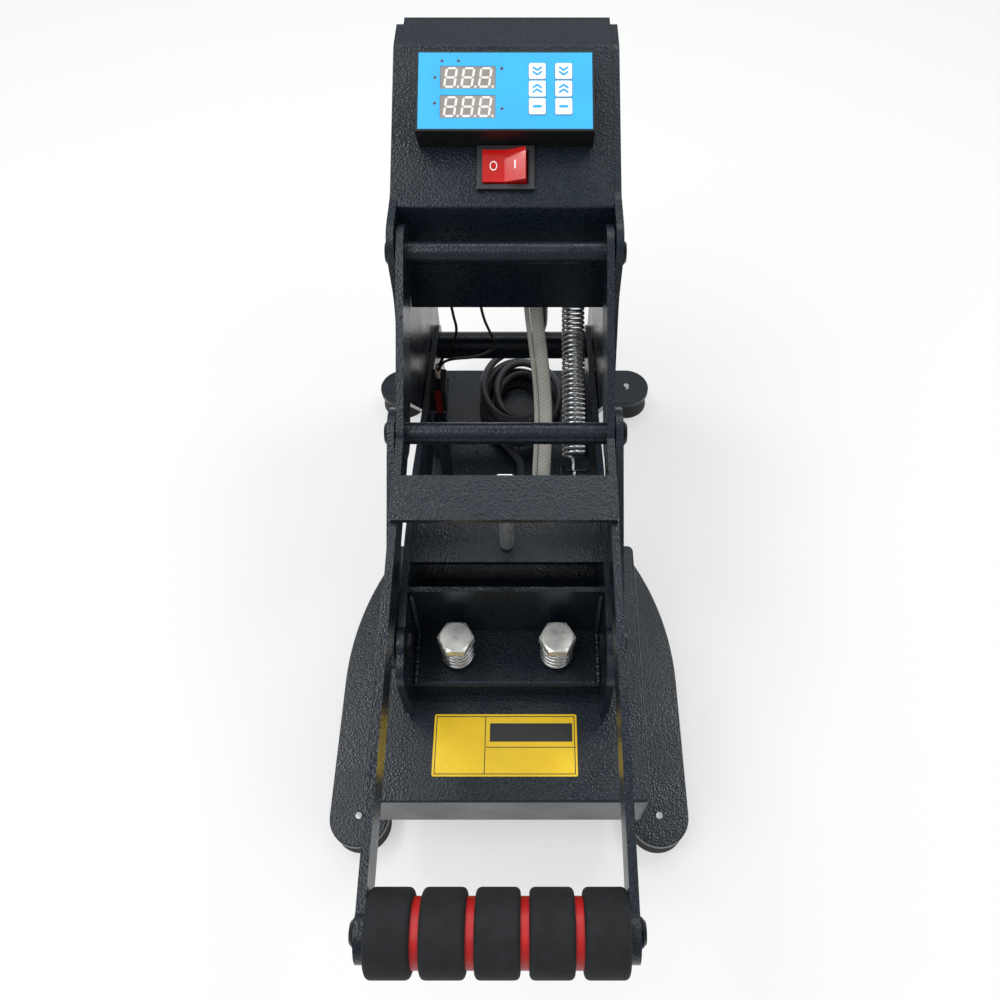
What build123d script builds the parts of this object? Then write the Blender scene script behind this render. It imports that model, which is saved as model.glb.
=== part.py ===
from build123d import *
import os
from math import acos, atan2, cos, degrees, hypot, pi, radians, sin, tan

# A small clamshell heat press with a 15 cm plate, closed, as it stands on a bench.
# X runs to the right, Y to the back, Z up. The origin is on the bench, midway
# between the front of the grip and the back edge of the base. All sizes in mm.

os.makedirs("parts", exist_ok=True)

# Side plates stand in two layers each side of the middle plane
inner_face_x = 54.0
plate_t = 4.0
layer_gap = 0.8
inner_outer_x = inner_face_x + plate_t
outer_face_x = inner_outer_x + layer_gap
outer_outer_x = outer_face_x + plate_t

# Clearances
run_fit = 0.05
seat_gap = 0.3
slip = 0.2

# Pivots in the side view, as (Y, Z)
lever_pivot = (105.5, 265.0)
link_pivot = (23.5, 210.5)
link_foot = (-73.5, 149.0)
carriage_pivot = (192.5, 100.0)

# Base
base_t = 5.0
foot_h = 15.0
foot_r = 18.0
foot_top_r = 15.5
base_top = foot_h + base_t
bar_half_w = 112.5
bar_r = 18.5
base_rear_y = 239.0
front_screw_y = -131.5
leg_inner_x = 75.5
arch_y = -112.5
flank_start_y = -42.5
flank_r = 195.0
waist_x = 67.0
waist_fillet = 60.0
foot_screw_r = 1.6
foot_head_r = 2.9
foot_head_h = 1.5

# Frame side plates
frame_rear_y = 234.5
frame_top_z = 322.0
frame_brow_y = 208.5
frame_shoulder_z = 284.0
frame_front_y = 92.5
frame_notch_z = 243.0
frame_nose_y = 64.0
frame_nose_z = 188.0
frame_shin_y = 136.0
frame_shin_z = 88.0
frame_foot_y = 146.0
frame_toe_z = 21.0

# Control box, one bent sheet between the side plates
sheet_t = 1.5
box_top_z = 323.0
box_rear_y = 236.0
brow_y = 207.5
panel_tilt = 25.5
box_front_y = 122.0
box_bottom_z = 208.0
box_floor_d = 60.0
vent_count = 7
vent_pitch = 9.0
vent_w = 4.0
vent_h = 38.0

# Controller on the sloping panel, measured up the slope from the lower bend
controller_w = 95.0
controller_h = 46.0
controller_up = 57.5
controller_proud = 16.0
controller_depth = 24.0
controller_wall = 1.8
face_t = 1.2
face_inset = 1.0
window_w = 29.5
window_h = 13.0
window_x = -19.9
window_up = (7.5, -9.2)
key_w = 9.0
key_proud = 0.6
key_skirt = 0.6
key_skirt_t = 0.8
key_columns = (17.0, 31.0)
key_rows = (10.8, 0.7, -9.4)
key_travel = 0.5
led_r = 0.8
led_places = ((-33.8, 17.0), (-24.9, 17.0), (-37.4, 7.4), (-1.9, 12.6), (-37.4, -7.3), (-1.7, -10.4))
board_t = 1.6
board_drop = 10.0
display_block_h = 8.2

# Rocker switch below the controller
rocker_up = 21.6
bezel_w = 31.0
bezel_h = 25.0
bezel_t = 2.2
rocker_w = 23.6
rocker_h = 18.4
rocker_gap = 0.6
rocker_ridge = 5.6
rocker_dip = 3.6
rocker_keel = 6.5
rocker_tilt = 9.0
rocker_axle = 0.4
rocker_axle_r = 1.6
switch_depth = 17.0

# Toggle lever, handle and grip
lever_end_r = 15.0
knee_r = 14.0
arm_r = 10.0
grip_axis = (-221.5, 191.0)
grip_end_r = 12.0
grip_tube_r = 10.0
grip_tube_wall = 2.0
grip_sleeve_r = 14.0
foam_r = 17.5
foam_rings = 5
foam_groove = 3.5
foam_round = 2.6
crossbar_d = 26.0
crossbar_t = 3.0
crossbar_y = -23.5
tube_r = 6.0
pivot_r = 4.0
pivot_head_r = 6.6
pivot_head_h = 2.6
pivot_nut_h = 3.2
bolt_head_r = 7.5
nut_h = 6.5
grip_head_r = 6.0
grip_head_h = 3.0
stop_bolt_y = -14.5
stop_bolt_r = 4.0

# Links
link_top_r = 14.0
link_foot_r = 13.0

# Carriage that carries the heater
carriage_bottom_z = 97.0
carriage_front_y = -95.5
carriage_top_z = 162.0
carriage_end_r = 15.0
ear_r = 11.0
hinge_tube_r = 10.0
hinge_bolt_r = 6.0
hinge_head_r = 10.4
hinge_head_h = 8.0
channel_front_y = -81.0
channel_web_y = -47.0
channel_top_z = 110.0
channel_t = 3.0
web_top_z = 160.0
deck_front_y = -25.5
deck_rear_y = 30.0
deck_top_z = 155.0
deck_t = 3.0

# Heater and its cover
cover_w = 160.0
cover_d = 164.0
cover_y = -61.0
cover_top_z = 95.0
cover_h = 38.0
cover_sheet = 1.5
cover_round = 4.0
heater_side_gap = 3.5
heater_end_gap = 5.5
heater_w = cover_w - 2 * (cover_sheet + heater_side_gap)
heater_d = cover_d - 2 * (cover_sheet + heater_end_gap)
heater_t = 18.0
heater_bottom_z = 55.0
insulation_t = 16.0
platen_bolt_x = 28.6
platen_bolt_y = -63.2
platen_bolt_r = 6.0
platen_head_r = 10.5
platen_head_h = 7.6
platen_head_z = 129.4
bolt_depth = 12.0

# Pressing pad and what carries it
press_gap = 2.0
pad_t = 8.0
pad_round = 6.0
lower_t = 6.0
bracket_w = 90.0
bracket_t = 3.0
bracket_front_y = -122.0
bracket_heel_y = -34.0
bracket_rear_y = 40.0
bracket_flange = 22.0
flange_bolt_y = (-14.0, 24.0)
flange_bolt_r = 3.0
flange_head_r = 5.6
flange_head_h = 4.0

# Springs
platen_wire = 2.4
platen_spring_r = 8.5
platen_turns = 4.0
lift_wire = 1.9
lift_spring_r = 6.3
lift_turns = 40
lift_x = 40.0
lift_foot = (38.5, 148.0)
lift_head = (182.5, 222.0)
lift_post_r = 4.0
lift_eye = 13.0

# Limit switch on the left carriage plate, tripped by a post on the base
switch_w = 10.0
switch_front_y = 114.5
switch_d = 20.0
switch_z = 118.0
switch_h = 20.0
plunger_w = 4.0
plunger_d = 3.0
plunger_out = 2.2
trip_w = 8.0
trip_t = 3.0
trip_toe = 16.0

# Leads inside the frame
sleeve_w = 8.6
sleeve_t = 4.2
sensor_r = 1.6
wire_r = 0.9
sleeve_in_x = 20.0
sensor_in_x = 13.8
lead_in_y = 20.0
lead_in_z = 84.0
slot_len = sleeve_in_x + sleeve_w / 2 - (sensor_in_x - sensor_r) + 2 * seat_gap
slot_mid_x = sensor_in_x - sensor_r - seat_gap + slot_len / 2

# Mains cord
cord_r = 3.0
gland_len = 25.0
gland_top_r = 6.5
gland_tip_r = 4.0
gland_flange_r = 9.0
gland_flange_t = 2.0
hank_half_x = 32.0
hank_half_y = 40.0
hank_centre = (5.0, 199.5)
hank_step = 14.0
hank_layers = 4
hank_layer_gap = 0.6
hank_start = 106.0
hank_end = 225.0
hank_rounds = 5
plug_back = (6.0, 114.5)
plug_len = 38.0
plug_w = 27.0
plug_h = 20.0
plug_neck = 10.0
pin_len = 18.0


def side_plane(x):
    """Plane of a side view at x, with local X along +Y and local Y up."""
    return Plane.YZ.offset(x)


def hex_at(centre, x_start, length, radius, bore=0.0):
    """Hexagon prism along X, round a pivot, added to the part in hand."""
    with BuildSketch(side_plane(x_start)) as profile:
        with Locations(centre):
            RegularPolygon(radius, 6)
            if bore:
                Circle(bore, mode=Mode.SUBTRACT)
    extrude(profile.sketch, amount=length)


def rod_at(centre, x_start, length, radius):
    """Round bar along X, round a pivot, added to the part in hand."""
    with BuildSketch(side_plane(x_start)) as profile:
        with Locations(centre):
            Circle(radius)
    extrude(profile.sketch, amount=length)


def low_head_at(centre, x_face, side, radius, height):
    """Low round bolt head on a face at x, with a softened rim, standing out to one side."""
    rod_at(centre, x_face if side > 0 else x_face - height / 2, height / 2, radius)
    with BuildSketch(side_plane(x_face + side * height / 2)) as rim:
        with Locations(centre):
            Circle(radius)
    with BuildSketch(side_plane(x_face + side * height)) as crown:
        with Locations(centre):
            Circle(radius - height / 2)
    loft([rim.sketch.face(), crown.sketch.face()])


def bore_at(centre, x_start, length, radius):
    """Round hole along X, cut from the part in hand."""
    with BuildSketch(side_plane(x_start)) as profile:
        with Locations(centre):
            Circle(radius)
    extrude(profile.sketch, amount=length, mode=Mode.SUBTRACT)


def taper_at(first, first_r, second, second_r, x_start, length):
    """Plate with two round ends of different size, added to the part in hand."""
    with BuildSketch(side_plane(x_start)) as profile:
        with Locations(first):
            Circle(first_r)
        with Locations(second):
            Circle(second_r)
        make_hull()
    extrude(profile.sketch, amount=length)


def biarc(start, start_way, end, end_way):
    """Two arcs that join two points and keep the way of travel at both."""
    gap = end - start
    both = start_way + end_way
    a = 2 * (1 - start_way.dot(end_way))
    b = 2 * gap.dot(both)
    c = -gap.dot(gap)
    if a < 1e-9:
        reach = -c / b
    else:
        reach = (-b + (b * b - 4 * a * c) ** 0.5) / (2 * a)
    first = start + start_way * reach
    second = end - end_way * reach
    middle = (first + second) * 0.5
    return [(start, first, middle), (middle, second, end)]


def arc_middle(start, corner, end):
    """Middle point of the arc that is tangent to both sides of a corner."""
    side = corner - start
    half = (end - start) * 0.5
    weight = half.length / side.length
    return (start + corner * (2 * weight) + end) * (1 / (2 + 2 * weight))


def draw_biarcs(stations):
    """Draw biarcs through (point, way) stations, in the line in hand."""
    for (p, u), (q, v) in zip(stations, stations[1:]):
        for start, corner, end in biarc(p, u, q, v):
            if (corner - start).cross(end - start).length < 1e-6:
                Line(start, end)
            else:
                ThreePointArc(start, arc_middle(start, corner, end), end)


def round_tube(path, radius, label):
    """Sweep a round section along a path and compare its volume with its length."""
    wire = path.wires()[0]
    with BuildPart() as tube:
        with BuildSketch(Plane(origin=wire @ 0, z_dir=wire % 0)):
            Circle(radius)
        sweep(path=wire)
    wanted = pi * radius * radius * wire.length
    print(label, "length", round(wire.length, 1), "volume share", round(tube.part.volume / wanted, 4))
    return tube


def self_gap(wire, radius, label, spacing, skip):
    """Print the least gap of a wound tube to itself, on points along its middle line."""
    count = int(wire.length / spacing)
    spots = [wire @ (i / count) for i in range(count + 1)]
    apart = int(skip / spacing)
    least = 1e9
    for i in range(0, count + 1):
        for j in range(i + apart, count + 1):
            step = spots[i] - spots[j]
            least = min(least, step.length)
    print(label, "least gap to itself", round(least - 2 * radius, 2))


def bend_radii(points, share=0.45):
    """Arc radius at each corner of a route: as large as its two runs allow."""
    radii = []
    for a, b, c in zip(points, points[1:], points[2:]):
        turn = (b - a).get_angle(c - b)
        shorter = min((b - a).length, (c - b).length)
        radii.append(share * shorter / tan(radians(turn / 2)))
    return radii


# Base plate: two legs, an arch between them, a waist and a bar across the back
base_half = bar_half_w - bar_r
bar_front_y = base_rear_y - 2 * bar_r
bar_mid_y = base_rear_y - bar_r
flank_mid_x = bar_half_w - flank_r
flank_turn = degrees(acos((waist_x - flank_mid_x) / flank_r))
waist_front_y = flank_start_y + flank_r * sin(radians(flank_turn))
with BuildPart() as base_plate:
    with BuildSketch(Plane.XY.offset(foot_h)) as base_outline:
        with BuildLine():
            Polyline((0, base_rear_y), (base_half, base_rear_y))
            ThreePointArc((base_half, base_rear_y), (bar_half_w, bar_mid_y), (base_half, bar_front_y))
            Polyline((base_half, bar_front_y), (waist_x, bar_front_y), (waist_x, waist_front_y))
            flank = CenterArc((flank_mid_x, flank_start_y), flank_r, flank_turn, -flank_turn)
            Line(flank @ 1, (bar_half_w, front_screw_y))
            ThreePointArc(
                (bar_half_w, front_screw_y),
                (bar_half_w - bar_r, front_screw_y - bar_r),
                (leg_inner_x, front_screw_y),
            )
            Line((leg_inner_x, front_screw_y), (leg_inner_x, arch_y))
            ThreePointArc(
                (leg_inner_x, arch_y),
                (leg_inner_x * sin(pi / 4), arch_y + leg_inner_x * cos(pi / 4)),
                (0, arch_y + leg_inner_x),
            )
            Line((0, arch_y + leg_inner_x), (0, base_rear_y))
        make_face()
        waist_corner = base_outline.vertices().sort_by_distance((waist_x, bar_front_y, foot_h))[0]
        fillet(waist_corner, bar_r * 0.9)
        waist_knee = base_outline.vertices().sort_by_distance((waist_x, waist_front_y, foot_h))[0]
        fillet(waist_knee, waist_fillet)
        mirror(about=Plane.YZ)
    extrude(amount=base_t)
    with Locations(Plane.XY.offset(base_top)):
        with Locations(
            (base_half, front_screw_y),
            (-base_half, front_screw_y),
            (base_half, bar_mid_y),
            (-base_half, bar_mid_y),
        ):
            Hole(foot_screw_r + slip)
    with BuildSketch(Plane.XY.offset(foot_h)):
        flange_x = bracket_w / 2 + bracket_flange / 2
        with Locations(*[(s * flange_x, y) for s in (-1, 1) for y in flange_bolt_y]):
            Circle(flange_bolt_r + slip)
    extrude(amount=base_t, mode=Mode.SUBTRACT)
    chamfer(base_plate.faces().sort_by(Axis.Z)[-1].outer_wire().edges(), 0.6)
base_plate.part.label = "base_plate"
export_step(base_plate.part, "parts/base_plate.step")

foot_places = [(s * base_half, y) for s in (-1, 1) for y in (front_screw_y, bar_mid_y)]
foot_recess_r = foot_head_r + 1.5
foot_recess_h = foot_h / 3
with BuildPart() as rubber_feet:
    for place in foot_places:
        with BuildSketch(Plane.XY.shift_origin((*place, 0))):
            Circle(foot_r)
        with BuildSketch(Plane.XY.offset(foot_h).shift_origin((*place, foot_h))):
            Circle(foot_top_r)
        loft()
    with BuildSketch(Plane.XY):
        with Locations(*foot_places):
            Circle(foot_recess_r)
    extrude(amount=foot_recess_h, mode=Mode.SUBTRACT)
    with BuildSketch(Plane.XY):
        with Locations(*foot_places):
            Circle(foot_screw_r + slip)
    extrude(amount=foot_h, mode=Mode.SUBTRACT)
rubber_feet.part.label = "rubber_feet"
export_step(rubber_feet.part, "parts/rubber_feet.step")

with BuildPart() as foot_screws:
    for place in foot_places:
        with BuildSketch(Plane.XY.shift_origin((*place, 0)).offset(foot_recess_h)):
            Circle(foot_screw_r)
        extrude(amount=base_top - foot_recess_h)
        with BuildSketch(Plane.XY.shift_origin((*place, 0)).offset(base_top)):
            Circle(foot_head_r)
        extrude(amount=foot_head_h, taper=28)
foot_screws.part.label = "foot_screws"
export_step(foot_screws.part, "parts/foot_screws.step")

# Lower platen: bent bracket on the base, steel plate and silicone pad
pad_top = heater_bottom_z - press_gap
pad_bottom = pad_top - pad_t
lower_bottom = pad_bottom - lower_t
bracket_half = bracket_w / 2
bracket_nose_h = 9.0
with BuildPart() as platen_bracket:
    for x_start in (-bracket_half, bracket_half - bracket_t):
        with BuildSketch(side_plane(x_start)):
            with BuildLine():
                Polyline(
                    (bracket_rear_y, base_top),
                    (bracket_heel_y, base_top),
                    (bracket_front_y, lower_bottom - bracket_nose_h),
                    (bracket_front_y, lower_bottom),
                    (bracket_rear_y, lower_bottom),
                    close=True,
                )
            make_face()
        extrude(amount=bracket_t)
    with BuildSketch(Plane.XY.offset(lower_bottom - bracket_t)):
        with Locations((0, (bracket_front_y + bracket_rear_y) / 2)):
            Rectangle(bracket_w, bracket_rear_y - bracket_front_y)
    extrude(amount=bracket_t)
    with BuildSketch(Plane.XY.offset(base_top)):
        for side in (-1, 1):
            with Locations((side * (bracket_half + bracket_flange / 2), (bracket_heel_y + bracket_rear_y) / 2)):
                Rectangle(bracket_flange + 2 * bracket_t, bracket_rear_y - bracket_heel_y)
        with Locations(*[(s * flange_x, y) for s in (-1, 1) for y in flange_bolt_y]):
            Circle(flange_bolt_r + slip, mode=Mode.SUBTRACT)
        with Locations((0, (bracket_heel_y + bracket_rear_y) / 2)):
            Rectangle(bracket_w - 2 * bracket_t, bracket_rear_y - bracket_heel_y, mode=Mode.SUBTRACT)
    extrude(amount=bracket_t)
platen_bracket.part.label = "platen_bracket"
export_step(platen_bracket.part, "parts/platen_bracket.step")

with BuildPart() as lower_platen:
    with BuildSketch(Plane.XY.offset(lower_bottom)):
        with Locations((0, cover_y)):
            RectangleRounded(heater_w, heater_d, pad_round)
    extrude(amount=lower_t)
lower_platen.part.label = "lower_platen"
export_step(lower_platen.part, "parts/lower_platen.step")

with BuildPart() as silicone_pad:
    with BuildSketch(Plane.XY.offset(pad_bottom)):
        with Locations((0, cover_y)):
            RectangleRounded(heater_w, heater_d, pad_round)
    extrude(amount=pad_t)
    fillet(silicone_pad.faces().sort_by(Axis.Z)[-1].edges(), 1.0)
silicone_pad.part.label = "silicone_pad"
export_step(silicone_pad.part, "parts/silicone_pad.step")

flange_top = base_top + bracket_t
with BuildPart() as base_bolts:
    for side in (-1, 1):
        for y in flange_bolt_y:
            spot = Plane.XY.shift_origin((side * flange_x, y, 0))
            with BuildSketch(spot.offset(foot_h - flange_head_h)):
                Circle(flange_bolt_r)
            extrude(amount=flange_top + flange_head_h - foot_h)
            with BuildSketch(spot.offset(flange_top)):
                RegularPolygon(flange_head_r, 6)
            extrude(amount=flange_head_h)
base_bolts.part.label = "base_bolts"
export_step(base_bolts.part, "parts/base_bolts.step")

# Frame side plates, welded on the base, with a shoulder that the box lies between
panel_rise = tan(radians(panel_tilt))


def frame_plate(x_start):
    """One frame side plate of sheet steel, from x_start towards +X."""
    shoulder_y = frame_brow_y - (frame_top_z - frame_shoulder_z) / panel_rise
    outline = [
        (frame_rear_y, base_top),
        (frame_rear_y, frame_top_z),
        (frame_brow_y, frame_top_z),
        (shoulder_y, frame_shoulder_z),
        (frame_front_y, frame_shoulder_z),
        (frame_front_y, frame_notch_z),
        (frame_nose_y, frame_nose_z),
        (frame_shin_y, frame_shin_z),
        (frame_foot_y, base_top + frame_toe_z),
        (frame_foot_y, base_top),
    ]
    rounds = [0, 5, 10, 14, 14, 30, 26, 60, 12, 0]
    with BuildPart() as plate:
        with BuildSketch(side_plane(x_start)):
            with BuildLine():
                FilletPolyline(*outline, radius=rounds, close=True)
            make_face()
        extrude(amount=plate_t)
        bore_at(lever_pivot, x_start, plate_t, pivot_r + run_fit)
        bore_at(carriage_pivot, x_start, plate_t, hinge_bolt_r + run_fit)
        bore_at(lift_head, x_start, plate_t, lift_post_r + run_fit)
    return plate


frame_plate_left = frame_plate(-outer_outer_x)
frame_plate_left.part.label = "frame_plate_left"
export_step(frame_plate_left.part, "parts/frame_plate_left.step")
frame_plate_right = frame_plate(outer_face_x)
frame_plate_right.part.label = "frame_plate_right"
export_step(frame_plate_right.part, "parts/frame_plate_right.step")

# Stay across the frame, inside the box, which the lift spring hooks over
with BuildPart() as frame_stay:
    rod_at(lift_head, -outer_outer_x, 2 * outer_outer_x, lift_post_r)
frame_stay.part.label = "frame_stay"
export_step(frame_stay.part, "parts/frame_stay.step")

# Hinge bolt of the carriage and pivot bolt of the lever, each with its nut
with BuildPart() as hinge_bolt:
    rod_at(carriage_pivot, -outer_outer_x, 2 * outer_outer_x + hinge_head_h + 2, hinge_bolt_r)
    hex_at(carriage_pivot, -outer_outer_x - hinge_head_h, hinge_head_h, hinge_head_r)
    hex_at(carriage_pivot, outer_outer_x, hinge_head_h, hinge_head_r, hinge_bolt_r + run_fit)
hinge_bolt.part.label = "hinge_bolt"
export_step(hinge_bolt.part, "parts/hinge_bolt.step")

with BuildPart() as lever_bolt:
    rod_at(lever_pivot, -outer_outer_x, 2 * outer_outer_x, pivot_r)
    low_head_at(lever_pivot, -outer_outer_x, -1, pivot_head_r, pivot_head_h)
    low_head_at(lever_pivot, outer_outer_x, 1, pivot_head_r, pivot_head_h)
lever_bolt.part.label = "lever_bolt"
export_step(lever_bolt.part, "parts/lever_bolt.step")

# Post on the base that trips the limit switch
switch_right_x = -inner_face_x + slip + switch_w
trip_x = -inner_face_x + slip + switch_w / 2
trip_y = switch_front_y - plunger_d / 2
trip_top = switch_z - plunger_out - seat_gap
with BuildPart() as trip_post:
    with BuildSketch(side_plane(trip_x - trip_w / 2)):
        with BuildLine():
            FilletPolyline(
                (trip_y + trip_t / 2 + trip_toe, base_top),
                (trip_y - trip_t / 2, base_top),
                (trip_y - trip_t / 2, trip_top),
                (trip_y + trip_t / 2, trip_top),
                (trip_y + trip_t / 2, base_top + trip_t),
                (trip_y + trip_t / 2 + trip_toe, base_top + trip_t),
                radius=[0, 0, 0, 0, 0, 0],
                close=True,
            )
        make_face()
    extrude(amount=trip_w)
trip_post.part.label = "trip_post"
export_step(trip_post.part, "parts/trip_post.step")

# Control box cover and back
bend_y = box_front_y
bend_z = box_top_z - (brow_y - box_front_y) * panel_rise
panel_up = Vector(0, cos(radians(panel_tilt)), sin(radians(panel_tilt)))
panel_out = Vector(0, -sin(radians(panel_tilt)), cos(radians(panel_tilt)))
panel_foot = Vector(0, bend_y, bend_z)
box_half = outer_face_x - slip


def panel_plane(up, out=0.0):
    """Plane on the sloping panel, centred up the slope and out from its face."""
    return Plane(origin=panel_foot + panel_up * up + panel_out * out, x_dir=(1, 0, 0), z_dir=panel_out)


with BuildPart() as control_box_cover:
    with BuildSketch(side_plane(-box_half)):
        with BuildLine():
            Polyline(
                (box_rear_y - sheet_t - slip, box_top_z),
                (brow_y, box_top_z),
                (bend_y, bend_z),
                (bend_y, box_bottom_z),
            )
            offset(amount=sheet_t, side=Side.LEFT, kind=Kind.INTERSECTION)
        make_face()
    extrude(amount=2 * box_half)
    bends = control_box_cover.edges().filter_by(Axis.X).group_by(SortBy.LENGTH)[-1]
    outer_bends = bends.filter_by(
        lambda e: (e.center() - Vector(0, brow_y, box_top_z)).length < 0.1
        or (e.center() - Vector(0, bend_y, bend_z)).length < 0.1
    )
    fillet(outer_bends, sheet_t * 0.9)
    with BuildSketch(panel_plane(controller_up)):
        Rectangle(controller_w - 4 * controller_wall, controller_h - 2 * controller_wall)
    extrude(amount=-3 * sheet_t, mode=Mode.SUBTRACT)
    with BuildSketch(panel_plane(rocker_up)):
        Rectangle(bezel_w - 3.6, bezel_h - 3.0)
    extrude(amount=-3 * sheet_t, mode=Mode.SUBTRACT)
control_box_cover.part.label = "control_box_cover"
export_step(control_box_cover.part, "parts/control_box_cover.step")

gland_x = 22.0
gland_y = 221.5
with BuildPart() as control_box_back:
    with BuildSketch(side_plane(-box_half)):
        with BuildLine():
            Polyline(
                (box_rear_y, box_top_z),
                (box_rear_y, box_bottom_z),
                (box_rear_y - box_floor_d, box_bottom_z),
            )
            offset(amount=sheet_t, side=Side.RIGHT, kind=Kind.INTERSECTION)
        make_face()
    extrude(amount=2 * box_half)
    with BuildSketch(Plane.XZ.offset(-box_rear_y)):
        for i in range(vent_count):
            with Locations(((i - (vent_count - 1) / 2) * vent_pitch, (box_top_z + box_bottom_z) / 2)):
                SlotOverall(vent_h, vent_w, rotation=90)
    extrude(amount=2 * sheet_t, mode=Mode.SUBTRACT)
    with BuildSketch(Plane.XY.offset(box_bottom_z)):
        with Locations((gland_x, gland_y)):
            Circle(gland_top_r + slip)
    extrude(amount=2 * sheet_t, mode=Mode.SUBTRACT)
control_box_back.part.label = "control_box_back"
export_step(control_box_back.part, "parts/control_box_back.step")

# Controller: housing, face, windows, six keys and the board behind them
face_top = controller_proud
face_bottom = face_top - face_t
with BuildPart() as controller_housing:
    with BuildSketch(panel_plane(controller_up, slip)):
        Rectangle(controller_w, controller_h)
    extrude(amount=controller_proud - slip)
    top_edges = controller_housing.faces().sort_by(Axis(panel_foot, panel_out))[-1].edges()
    chamfer(top_edges, 0.5)
    with BuildSketch(panel_plane(controller_up, slip)):
        Rectangle(controller_w - 4 * controller_wall - 2 * slip, controller_h - 2 * controller_wall - 2 * slip)
    extrude(amount=-controller_depth)
    with BuildSketch(panel_plane(controller_up, face_bottom)):
        Rectangle(controller_w - 2 * face_inset, controller_h - 2 * face_inset)
    extrude(amount=2 * face_t, mode=Mode.SUBTRACT)
    with BuildSketch(panel_plane(controller_up, controller_wall - controller_depth)):
        Rectangle(controller_w - 8 * controller_wall, controller_h - 4 * controller_wall)
    extrude(amount=controller_depth + controller_proud, mode=Mode.SUBTRACT)
controller_housing.part.label = "controller_housing"
export_step(controller_housing.part, "parts/controller_housing.step")

key_places = [(x, up) for up in key_rows for x in key_columns]
window_places = [(window_x, up) for up in window_up]
with BuildPart() as controller_face:
    with BuildSketch(panel_plane(controller_up, face_bottom)):
        Rectangle(controller_w - 2 * face_inset - 2 * slip, controller_h - 2 * face_inset - 2 * slip)
        with Locations(*window_places):
            Rectangle(window_w, window_h, mode=Mode.SUBTRACT)
        with Locations(*key_places):
            RectangleRounded(key_w + 2 * slip, key_w + 2 * slip, 1.2, mode=Mode.SUBTRACT)
        with Locations(*led_places):
            Circle(led_r, mode=Mode.SUBTRACT)
    extrude(amount=face_t)
controller_face.part.label = "controller_face"
export_step(controller_face.part, "parts/controller_face.step")

with BuildPart() as display_windows:
    with BuildSketch(panel_plane(controller_up, face_bottom)):
        with Locations(*window_places):
            Rectangle(window_w - slip, window_h - slip)
    extrude(amount=face_t - slip)
display_windows.part.label = "display_windows"
export_step(display_windows.part, "parts/display_windows.step")


def key_cap(place):
    """One key cap with a skirt that holds it behind the face."""
    with BuildPart() as key:
        with BuildSketch(panel_plane(controller_up, face_bottom - slip)):
            with Locations(place):
                RectangleRounded(key_w, key_w, 1.0)
        extrude(amount=face_t + key_proud + slip)
        with BuildSketch(panel_plane(controller_up, face_bottom - slip - key_skirt_t)):
            with Locations(place):
                Rectangle(key_w + 0.9, key_w + 0.9)
        extrude(amount=key_skirt_t)
    return key


key_names = ("key_down_left", "key_down_right", "key_up_left", "key_up_right", "key_set_left", "key_set_right")
for key_name, key_place in zip(key_names, key_places):
    key = key_cap(key_place)
    key.part.label = key_name
    export_step(key.part, "parts/" + key_name + ".step")

board_top = face_bottom - board_drop
tact_h = board_drop - slip - key_skirt_t - key_travel - slip
with BuildPart() as controller_board:
    with BuildSketch(panel_plane(controller_up, board_top - board_t)):
        Rectangle(controller_w - 8 * controller_wall - 2 * slip, controller_h - 4 * controller_wall - 2 * slip)
    extrude(amount=board_t)
    with BuildSketch(panel_plane(controller_up, board_top)):
        with Locations(*key_places):
            Rectangle(6.0, 6.0)
    extrude(amount=tact_h)
    with BuildSketch(panel_plane(controller_up, board_top)):
        with Locations(*window_places):
            Rectangle(window_w, window_h)
    extrude(amount=board_drop - slip)
controller_board.part.label = "controller_board"
export_step(controller_board.part, "parts/controller_board.step")

# Rocker switch: a frame with its body, and the rocker resting on its off side
with BuildPart() as rocker_bezel:
    with BuildSketch(panel_plane(rocker_up, slip)):
        Rectangle(bezel_w, bezel_h)
    extrude(amount=bezel_t)
    with BuildSketch(panel_plane(rocker_up, slip)):
        Rectangle(bezel_w - 3.6 - 2 * slip, bezel_h - 3.0 - 2 * slip)
    extrude(amount=-switch_depth)
    with BuildSketch(panel_plane(rocker_up, bezel_t + slip)):
        Rectangle(rocker_w + 2 * rocker_gap, rocker_h + 2 * rocker_gap)
    extrude(amount=-bezel_t - rocker_keel - 2.5, mode=Mode.SUBTRACT)
rocker_bezel.part.label = "rocker_bezel"
export_step(rocker_bezel.part, "parts/rocker_bezel.step")

rocker_half = rocker_w / 2
rocker_base = panel_plane(rocker_up)
tilt_rad = radians(rocker_tilt)
rocker_side = Plane(
    origin=rocker_base.origin - panel_up * (rocker_h / 2),
    x_dir=(cos(tilt_rad), -sin(tilt_rad) * panel_out.Y * -1, sin(tilt_rad) * panel_out.Z),
    z_dir=panel_up * -1,
)
with BuildPart() as rocker:
    with BuildSketch(rocker_side):
        with BuildLine():
            Polyline(
                (-rocker_half, 0.5),
                (-rocker_half, rocker_ridge),
                (0, rocker_dip),
                (rocker_half, rocker_ridge),
                (rocker_half, 0.5),
                (rocker_half / 3, -rocker_keel),
                (-rocker_half / 3, -rocker_keel),
                close=True,
            )
        make_face()
    extrude(amount=-rocker_h)
    with BuildSketch(Plane(origin=rocker_base.origin - panel_up * (rocker_h / 2 + rocker_axle), z_dir=panel_up)):
        Circle(rocker_axle_r)
    extrude(amount=rocker_h + 2 * rocker_axle)
rocker.part.label = "rocker"
export_step(rocker.part, "parts/rocker.step")

# Lever, handle arms and grip
arm_run = (link_pivot[0] - grip_axis[0], link_pivot[1] - grip_axis[1])
arm_slope = atan2(arm_run[1], arm_run[0])


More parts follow.
